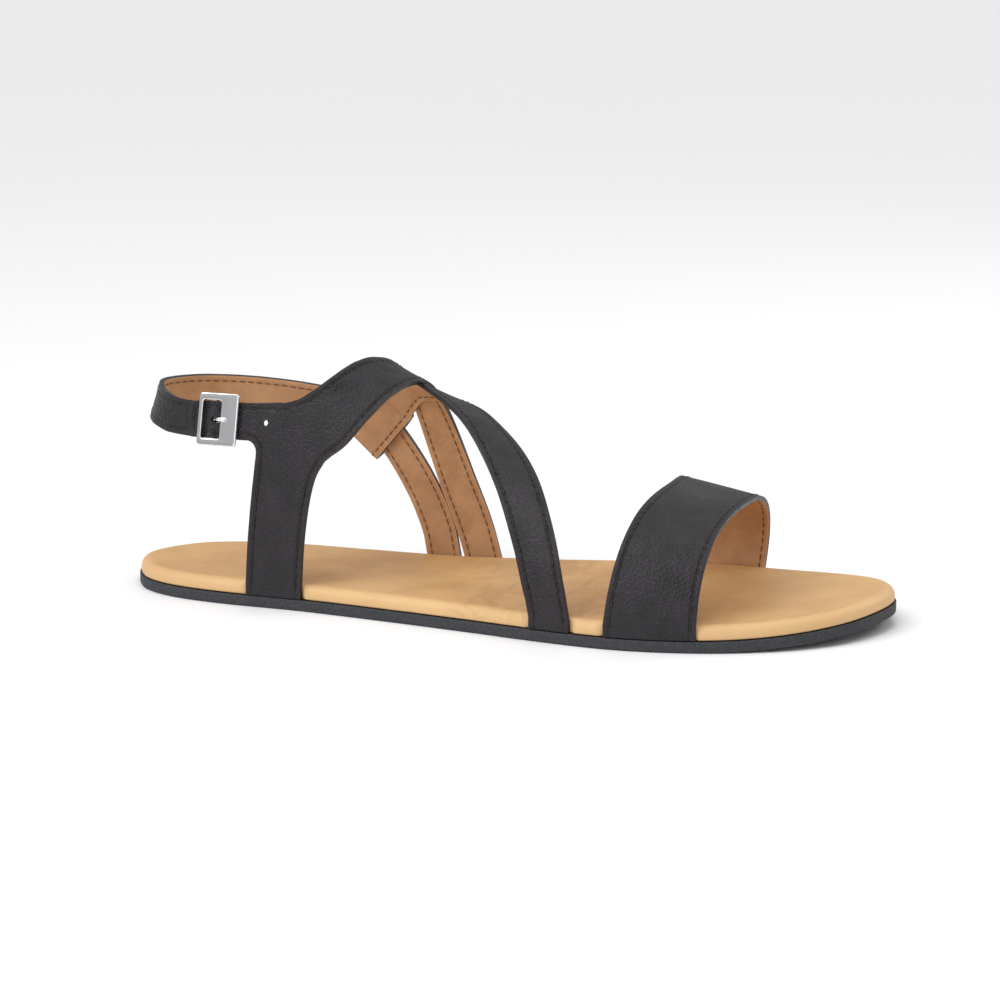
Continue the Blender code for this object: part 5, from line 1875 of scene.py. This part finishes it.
@dataclass
class HeelStrap(Strap):
    """Narrow strap from the inner sole edge through the loop, round the heel to the pin."""

    frame: BilletFrame | None = None
    crossing: CrossingStrap | None = None
    width: float = 11.6 * MM
    columns: int = 12
    anchor: tuple[Anchor, ...] = (
        Anchor(0.3804, 0.0000, 0.00),
        Anchor(0.3718, 0.0392, 0.00),
        Anchor(0.3471, 0.0941, 0.25),
    )
    wrap: tuple[Heel, ...] = (
        Heel(0.2431, 0.971, 0.12),
        Heel(0.1804, 1.000, 0.00),
        Heel(0.1176, 1.019, 0.00),
        Heel(0.0471, 1.035, 0.00),
        Heel(-0.0314, 1.035, 0.00),
        Heel(-0.0902, 1.014, 0.20),
        Heel(-0.1280, 0.990, 0.60),
    )
    fold: tuple[Fold, ...] = (Fold(4.34, 1.0), Fold(2.63, 1.0), Fold(1.83, 0.99), Fold(1.17, 0.85))
    returning: tuple[float, ...] = (1.49, 2.4, 3.20, 4.2, 5.20)
    fold_step: float = 0.7 * MM
    slot: tuple[float, float, float] = (7.5 * MM, 2.2 * MM, 9 * MM)
    slot_shift: float = 0.75 * MM
    creases: tuple[Crease, ...] = (
        Crease(70 * MM, 6 * MM, 6 * MM, 2.4 * MM, 0.14 * MM, 88.0),
        Crease(120 * MM, 6 * MM, 6 * MM, 2.8 * MM, 0.12 * MM, 92.0),
        Crease(150 * MM, 6 * MM, 6 * MM, 2.6 * MM, 0.12 * MM, 87.0),
    )

    def passage(self) -> list[tuple]:
        """Rows where the strap runs square through the loop."""
        foot, crossing = self.foot, self.crossing
        station = crossing.loop.station * foot.sole_length
        around = foot.round_at(station)
        height = foot.on(station, foot.whole(station) * crossing.loop.over)[2] - foot.rim_height
        lift = foot.thickness + crossing.clearance - crossing.loop_sink
        rows = []
        for reach in (crossing.width / 2, 0.0, -crossing.width / 2):
            forward = reach * math.cos(crossing.loop_tilt)
            fall = reach * math.sin(crossing.loop_tilt)
            rows.append((around + forward, height - fall, lift))
        return rows

    def centre_path(self) -> np.ndarray:
        """Distance round the rim, height and lift of the strap's middle line."""
        foot = self.foot
        rows = []
        for row in self.anchor:
            around = foot.round_at(row.station * foot.sole_length)
            rows.append((around, row.height * foot.sole_length, row.lift * foot.thickness))
        rows += self.passage()
        for row in self.wrap:
            height = row.height * self.frame.middle
            rows.append((row.round * foot.sole_length, height, row.lift * foot.thickness))
        return evenly(curve_through(rows), self.step)

    def across(self, around: float, height: float, along: np.ndarray) -> np.ndarray:
        """Direction across the strap, level where it leaves the sole."""
        foot, nudge = self.foot, self.foot.nudge
        low = height + 2 * nudge
        up = foot.round_heel(around, low + nudge) - foot.round_heel(around, low)
        onward = foot.round_heel(around + nudge, low) - foot.round_heel(around - nudge, low)
        square = unit(np.cross(np.cross(up, onward), along))
        level = unit(onward)
        if square @ level < 0 and height < self.width:
            square = -square
        rising = around > self.crossing.loop.station * foot.sole_length
        share = blend(height / self.width) if rising else 1.0
        across = level * (1 - share) + square * share
        return across / (across @ square)

    def fold_places(self) -> list[tuple[float, float]]:
        """Along and out of the end that folds round the pin, from behind the buckle."""
        frame = self.frame
        under = -(self.foot.thickness + frame.clearance)
        radius, pin = frame.fold_radius, frame.pin_place
        lead = [(pin + row.behind * radius, row.level * under) for row in self.fold]
        places = [tuple(row) for row in evenly(curve_through(lead), self.fold_step)]
        for turn in range(40, -181, -10):
            angle = math.radians(turn)
            out = frame.pin_level + radius * math.cos(angle)
            places.append((pin + radius * math.sin(angle), out))
        low = frame.pin_level - radius
        return places + [(pin + share * radius, low) for share in self.returning]

    def build(self) -> list[bpy.types.Object]:
        """Builds and dresses the strap."""
        foot, frame, half = self.foot, self.frame, self.width / 2
        start = foot.round_at(self.anchor[0].station * foot.sole_length)
        drop = foot.drop
        reach = [drop + self.margin, drop + self.margin / 2, drop + self.under_turn]
        pairs = []
        for past in (*reach, drop, drop / 2, 0.0):
            pairs.append([foot.round_heel(start + side * half, -past) for side in (-1, 1)])
        path = self.centre_path()
        centres = np.array([foot.round_heel(*row) for row in path])
        onward = units(np.gradient(centres, axis=0))
        for centre, (around, height, _), along in list(zip(centres, path, onward))[1:]:
            across = self.across(around, height, along)
            pairs.append([centre - across * half, centre + across * half])
        ends = []
        for along, out in self.fold_places():
            centre = frame.at(along, 0.0, out)
            ends.append([centre + frame.across * half, centre - frame.across * half])
        pairs = self.straight(self.bridged(self.straight(pairs + ends), len(pairs)))
        shares = np.linspace(0, 1, self.columns)
        points = np.array([a * (1 - s) + b * s for a, b in pairs for s in shares])
        run = run_length(np.array([(a + b) / 2 for a, b in pairs]))
        places = np.array([(r, s * self.width) for r in run for s in shares])
        sheet = Sheet(points, places, grid_faces(len(pairs), self.columns))
        sheet.face_out(self.inside(60 * MM), 60 * (self.columns - 1))
        sheet.press(self.creases)
        body = bmesh.new()
        bmesh.ops.create_cube(body, size=1.0)
        bmesh.ops.scale(body, vec=self.slot, verts=body.verts)
        mesh = poured(body, bpy.data.meshes.new("prong_slot"))
        place = frame.pin_place - self.slot_shift
        slot = object_from("prong_slot", frame.placed(mesh, place, frame.pin_level))
        made = self.dress("heel_strap", sheet, "heel_strap", tools=[slot])
        bpy.data.objects.remove(slot)
        return made

    @staticmethod
    def straight(pairs: list) -> list:
        """Each pair with its two ends in the same order as the pair before it."""
        kept = [pairs[0]]
        for low, high in pairs[1:]:
            before = kept[-1][1] - kept[-1][0]
            kept.append([low, high] if (high - low) @ before > 0 else [high, low])
        return kept

    @staticmethod
    def bridged(pairs: list, seam: int) -> list:
        """The pairs with a smooth stretch over the gap before one of them."""
        keys = [np.concatenate(pairs[i]) for i in (seam - 5, seam - 1, seam, seam + 4)]
        smooth = curve_through(keys, fine=12)[12:25]
        middle = [[row[:3], row[3:]] for row in smooth[1:-1]]
        return pairs[:seam] + middle + pairs[seam:]


# ---------------------------------------------------------------- buckle


@dataclass
class Buckle:
    """Frame with a wide front bar, side cheeks, a hidden pin and a prong."""

    frame: BilletFrame
    finishes: Finishes
    width: float = 17 * MM
    thickness: float = 1.4 * MM
    corner: float = 1.1 * MM
    window_corner: float = 0.9 * MM
    edge: float = 0.42 * MM
    cheek_inset: float = 0.7 * MM
    cheek_shape: float = 0.8
    prong_radius: float = 0.7 * MM
    prong_rise: tuple = ((0.15, 1.4), (-0.7, 3.4))
    prong_lie: tuple = ((0.7, -0.5), (-1.0, 0.0), (-2.6, 0.0))
    prong_step: float = 0.35 * MM
    prong_tip: tuple = (0.55, 0.84, 0.96)

    @property
    def length(self) -> float:
        """Length of the frame along the strap."""
        return self.frame.front_bar + self.frame.window + self.frame.rear_bar

    def rounded_box(self, low: float, high: float, half: float, radius: float) -> list:
        """Corner-rounded rectangle from low to high along, half to each side across."""
        points = []
        corners = ((high, half, 0), (low, half, 90), (low, -half, 180), (high, -half, 270))
        for along, across, start in corners:
            x = along - math.copysign(radius, along - (low + high) / 2)
            y = across - math.copysign(radius, across)
            for i in range(7):
                turn = math.radians(start + i * 15)
                points.append((x + radius * math.cos(turn), y + radius * math.sin(turn)))
        return points

    def plate(self) -> tuple[list, list]:
        """Points and faces of the flat frame with its window."""
        half = self.length / 2
        outer = self.rounded_box(-half, half, self.width / 2, self.corner)
        low = -half + self.frame.front_bar
        window = self.frame.billet_width / 2 + self.frame.clearance
        inner = self.rounded_box(low, low + self.frame.window, window, self.window_corner)
        size = len(outer)
        points = []
        for ring in (outer, inner):
            for level in (0.0, self.thickness):
                points += [(x, y, level) for x, y in ring]
        faces = []
        for i in range(size):
            k = (i + 1) % size
            faces.append((i, k, size + k, size + i))
            faces.append((2 * size + i, 3 * size + i, 3 * size + k, 2 * size + k))
            faces.append((size + i, size + k, 3 * size + k, 3 * size + i))
            faces.append((i, 2 * size + i, 2 * size + k, k))
        return points, faces

    def cheek(self, side: int) -> tuple[list, list]:
        """Points and faces of the rounded plate under one side bar."""
        frame = self.frame
        top = self.thickness / 2
        depth = frame.frame_level + top - frame.pin_level + frame.pin_radius + frame.clearance
        reach = self.length / 2 - self.cheek_inset
        outline = []
        for i in range(33):
            turn = math.pi * i / 32
            fall = depth * math.sin(turn) ** self.cheek_shape
            outline.append((-reach * math.cos(turn), top - fall))
        bar = (self.width - frame.billet_width) / 2 - frame.clearance
        inner = self.width / 2 - bar + frame.clearance / 3
        points = []
        for across in (inner, inner + bar - self.cheek_inset):
            points += [(x, across * side, z) for x, z in outline]
        size = len(outline)
        faces = [tuple(range(size)), tuple(range(2 * size - 1, size - 1, -1))]
        faces += [(i, (i + 1) % size, size + (i + 1) % size, size + i) for i in range(size)]
        return points, faces

    def build(self) -> list[bpy.types.Object]:
        """Builds and dresses the frame and the prong."""
        frame = self.frame
        parts = [self.plate(), self.cheek(-1), self.cheek(1)]
        points, faces = [], []
        for found, corners in parts:
            base = len(points)
            points += found
            faces += [tuple(base + i for i in face) for face in corners]
        mesh = mesh_from("buckle_frame_metal", points, faces)
        body = bmesh.new()
        body.from_mesh(recalculated(mesh))
        found = bmesh.ops.create_cone(
            body, cap_ends=True, segments=24, radius1=frame.pin_radius, radius2=frame.pin_radius,
            depth=self.width - 2 * MM,
        )
        shift = frame.pin_place - frame.buckle_start - self.length / 2
        for vertex in found["verts"]:
            x, y, z = vertex.co
            vertex.co = (x + shift, z, y + frame.pin_level - frame.frame_level)
        poured(body, mesh)
        frame.placed(mesh, frame.buckle_start + self.length / 2, frame.frame_level)
        mesh.materials.append(self.finishes.metal)
        made = object_from("buckle_frame_metal", mesh)
        soften(made, self.edge, 4)
        settle_modifiers(made, SHARP)
        ready(made, "polished_silver", "buckle_frame")
        return [made, self.prong()]

    def prong(self) -> bpy.types.Object:
        """Prong hooked round the pin, up through the billet and onto the front bar."""
        frame, radius = self.frame, self.prong_radius
        hook = frame.pin_radius + frame.clearance + radius
        places = []
        for turn in range(200, -21, -10):
            angle = math.radians(turn)
            along = frame.pin_place + hook * math.sin(angle)
            places.append((along, frame.pin_level + hook * math.cos(angle)))
        hole = frame.prong_hole
        top = frame.pin_level + hook
        edge = frame.buckle_start + frame.front_bar
        rest = frame.frame_level + self.thickness + frame.clearance + radius
        places += [(hole + a * radius, top + b * radius) for a, b in self.prong_rise]
        places += [(edge + a * radius, rest + b * radius) for a, b in self.prong_lie]
        line = evenly(curve_through(places), self.prong_step)
        data = bpy.data.curves.new("prong", "CURVE")
        data.dimensions = "3D"
        data.bevel_depth = radius
        data.bevel_resolution = 6
        data.use_fill_caps = True
        spline = data.splines.new("POLY")
        spline.points.add(len(line) - 1)
        taper = self.prong_tip
        for i, (point, (along, out)) in enumerate(zip(spline.points, line)):
            left = len(line) - 1 - i
            point.co = (*frame.at(along, 0.0, out), 1.0)
            point.radius = taper[left] if left < len(taper) else 1.0
        guide = object_from("prong_line", data)
        mesh = evaluated(guide)
        bpy.data.objects.remove(guide)
        mesh.materials.clear()
        mesh.materials.append(self.finishes.metal)
        made = object_from("buckle_prong_metal", recalculated(mesh))
        smooth(mesh, SHARP)
        return ready(made, "polished_silver", "buckle_prong")


# ---------------------------------------------------------------- studio


class Panel(NamedTuple):
    """Square soft light aimed at the shoe."""

    name: str
    place: tuple
    size: float
    power: float


@dataclass
class Studio:
    """Pale floor, soft lights and the camera at the photo's angle."""

    azimuth: float = 20.0
    elevation: float = 11.0
    distance: float = 0.94
    lens: float = 105.0
    aim: tuple[float, float, float] = (0.0, 0.0, 0.034)
    floor_radius: float = 14.0
    floor_level: float = -0.05 * MM
    sun_strength: float = 1.25
    sun_spread: float = 55.0
    sun_place: tuple[float, float, float] = (-0.9, -1.0, 2.2)
    sky: tuple[float, float] = (0.36, 0.62)
    sky_rise: tuple[float, float] = (-0.05, 0.60)
    panels: tuple[Panel, ...] = (
        Panel("key", (-0.75, -0.85, 0.95), 0.32, 2.4),
        Panel("top", (0.25, 0.10, 1.15), 0.42, 2.0),
        Panel("rim", (0.70, 0.75, 0.60), 0.30, 1.6),
        Panel("front", (0.20, -1.55, 0.45), 1.10, 4.4),
    )

    def add(self, name: str, data: bpy.types.ID, place: Sequence) -> bpy.types.Object:
        """Light or camera at a place, aimed at the shoe."""
        made = object_from(name, data)
        made.location = place
        way = Vector(self.aim) - Vector(place)
        made.rotation_euler = way.to_track_quat("-Z", "Y").to_euler()
        return made

    def lights(self) -> None:
        """Sun, panels and a sky that darkens towards the horizon."""
        for panel in self.panels:
            data = bpy.data.lights.new(panel.name, "AREA")
            data.size = panel.size
            data.energy = panel.power
            self.add(panel.name, data, panel.place)
        data = bpy.data.lights.new("sun", "SUN")
        data.energy = self.sun_strength
        data.angle = math.radians(self.sun_spread)
        self.add("sun", data, self.sun_place)
        world = bpy.data.worlds.new("studio")
        world.use_nodes = True
        tree = world.node_tree
        where = tree.nodes.new("ShaderNodeTexCoord")
        split = tree.nodes.new("ShaderNodeSeparateXYZ")
        grade = tree.nodes.new("ShaderNodeMapRange")
        spans = zip(("From Min", "From Max", "To Min", "To Max"), self.sky_rise + self.sky)
        for socket, value in spans:
            grade.inputs[socket].default_value = value
        tree.links.new(where.outputs["Generated"], split.inputs["Vector"])
        tree.links.new(split.outputs["Z"], grade.inputs["Value"])
        tree.links.new(grade.outputs["Result"], tree.nodes["Background"].inputs["Strength"])
        tree.nodes["Background"].inputs["Color"].default_value = (1.0, 1.0, 1.0, 1.0)
        bpy.context.scene.world = world
        bpy.context.scene.view_settings.view_transform = "Standard"

    def build(self) -> None:
        """Builds the floor, the lights and the camera."""
        body = bmesh.new()
        bmesh.ops.create_circle(body, cap_ends=True, segments=96, radius=self.floor_radius)
        bmesh.ops.translate(body, vec=(0.0, 0.0, self.floor_level), verts=body.verts)
        mesh = poured(body, bpy.data.meshes.new("floor"))
        mesh.materials.append(PaleFloor().make())
        object_from("floor", mesh)
        self.lights()
        data = bpy.data.cameras.new("photo_view")
        data.lens = self.lens
        data.clip_start = 0.01
        turn, rise = math.radians(self.azimuth), math.radians(self.elevation)
        flat = self.distance * math.cos(rise)
        away = (flat * math.sin(turn), -flat * math.cos(turn), self.distance * math.sin(rise))
        camera = self.add("photo_view", data, Vector(self.aim) + Vector(away))
        bpy.context.scene.camera = camera


def main() -> None:
    """Builds every sub-assembly in order and reports its pieces."""
    logging.basicConfig(level=logging.INFO, format="%(message)s")
    foot = FootShape()
    finishes = Finishes.make(Upper.pinhole_place(foot))
    billet = BilletFrame(foot)
    toe = ToeBand(foot, finishes)
    upper = Upper(foot, finishes, frame=billet)
    crossing = CrossingStrap(foot, finishes)
    heel = HeelStrap(foot, finishes, frame=billet, crossing=crossing)
    half = crossing.width / 2
    cross = crossing.table[0].station * foot.sole_length
    band = upper.path[-1].station * foot.sole_length
    end = heel.anchor[0].station * foot.sole_length
    notches = (
        Notch(False, *upper.leg_ends(upper.leg[0])),
        Notch(False, cross - half, cross + half),
        Notch(False, *toe.ends(toe.table[0])),
        Notch(True, *toe.ends(toe.table[-1])),
        Notch(True, band - upper.band_width / 2, band + upper.band_width / 2),
        Notch(True, end - heel.width / 2, end + heel.width / 2),
    )
    makers = (
        Outsole(foot, finishes),
        Footbed(foot, finishes, notches=notches),
        toe,
        upper,
        crossing,
        heel,
        Buckle(billet, finishes),
    )
    for maker in makers:
        pieces = maker.build()
        LOG.info("%s: %s", type(maker).__name__, ", ".join(piece.name for piece in pieces))
    Studio().build()


if __name__ == "__main__":
    main()
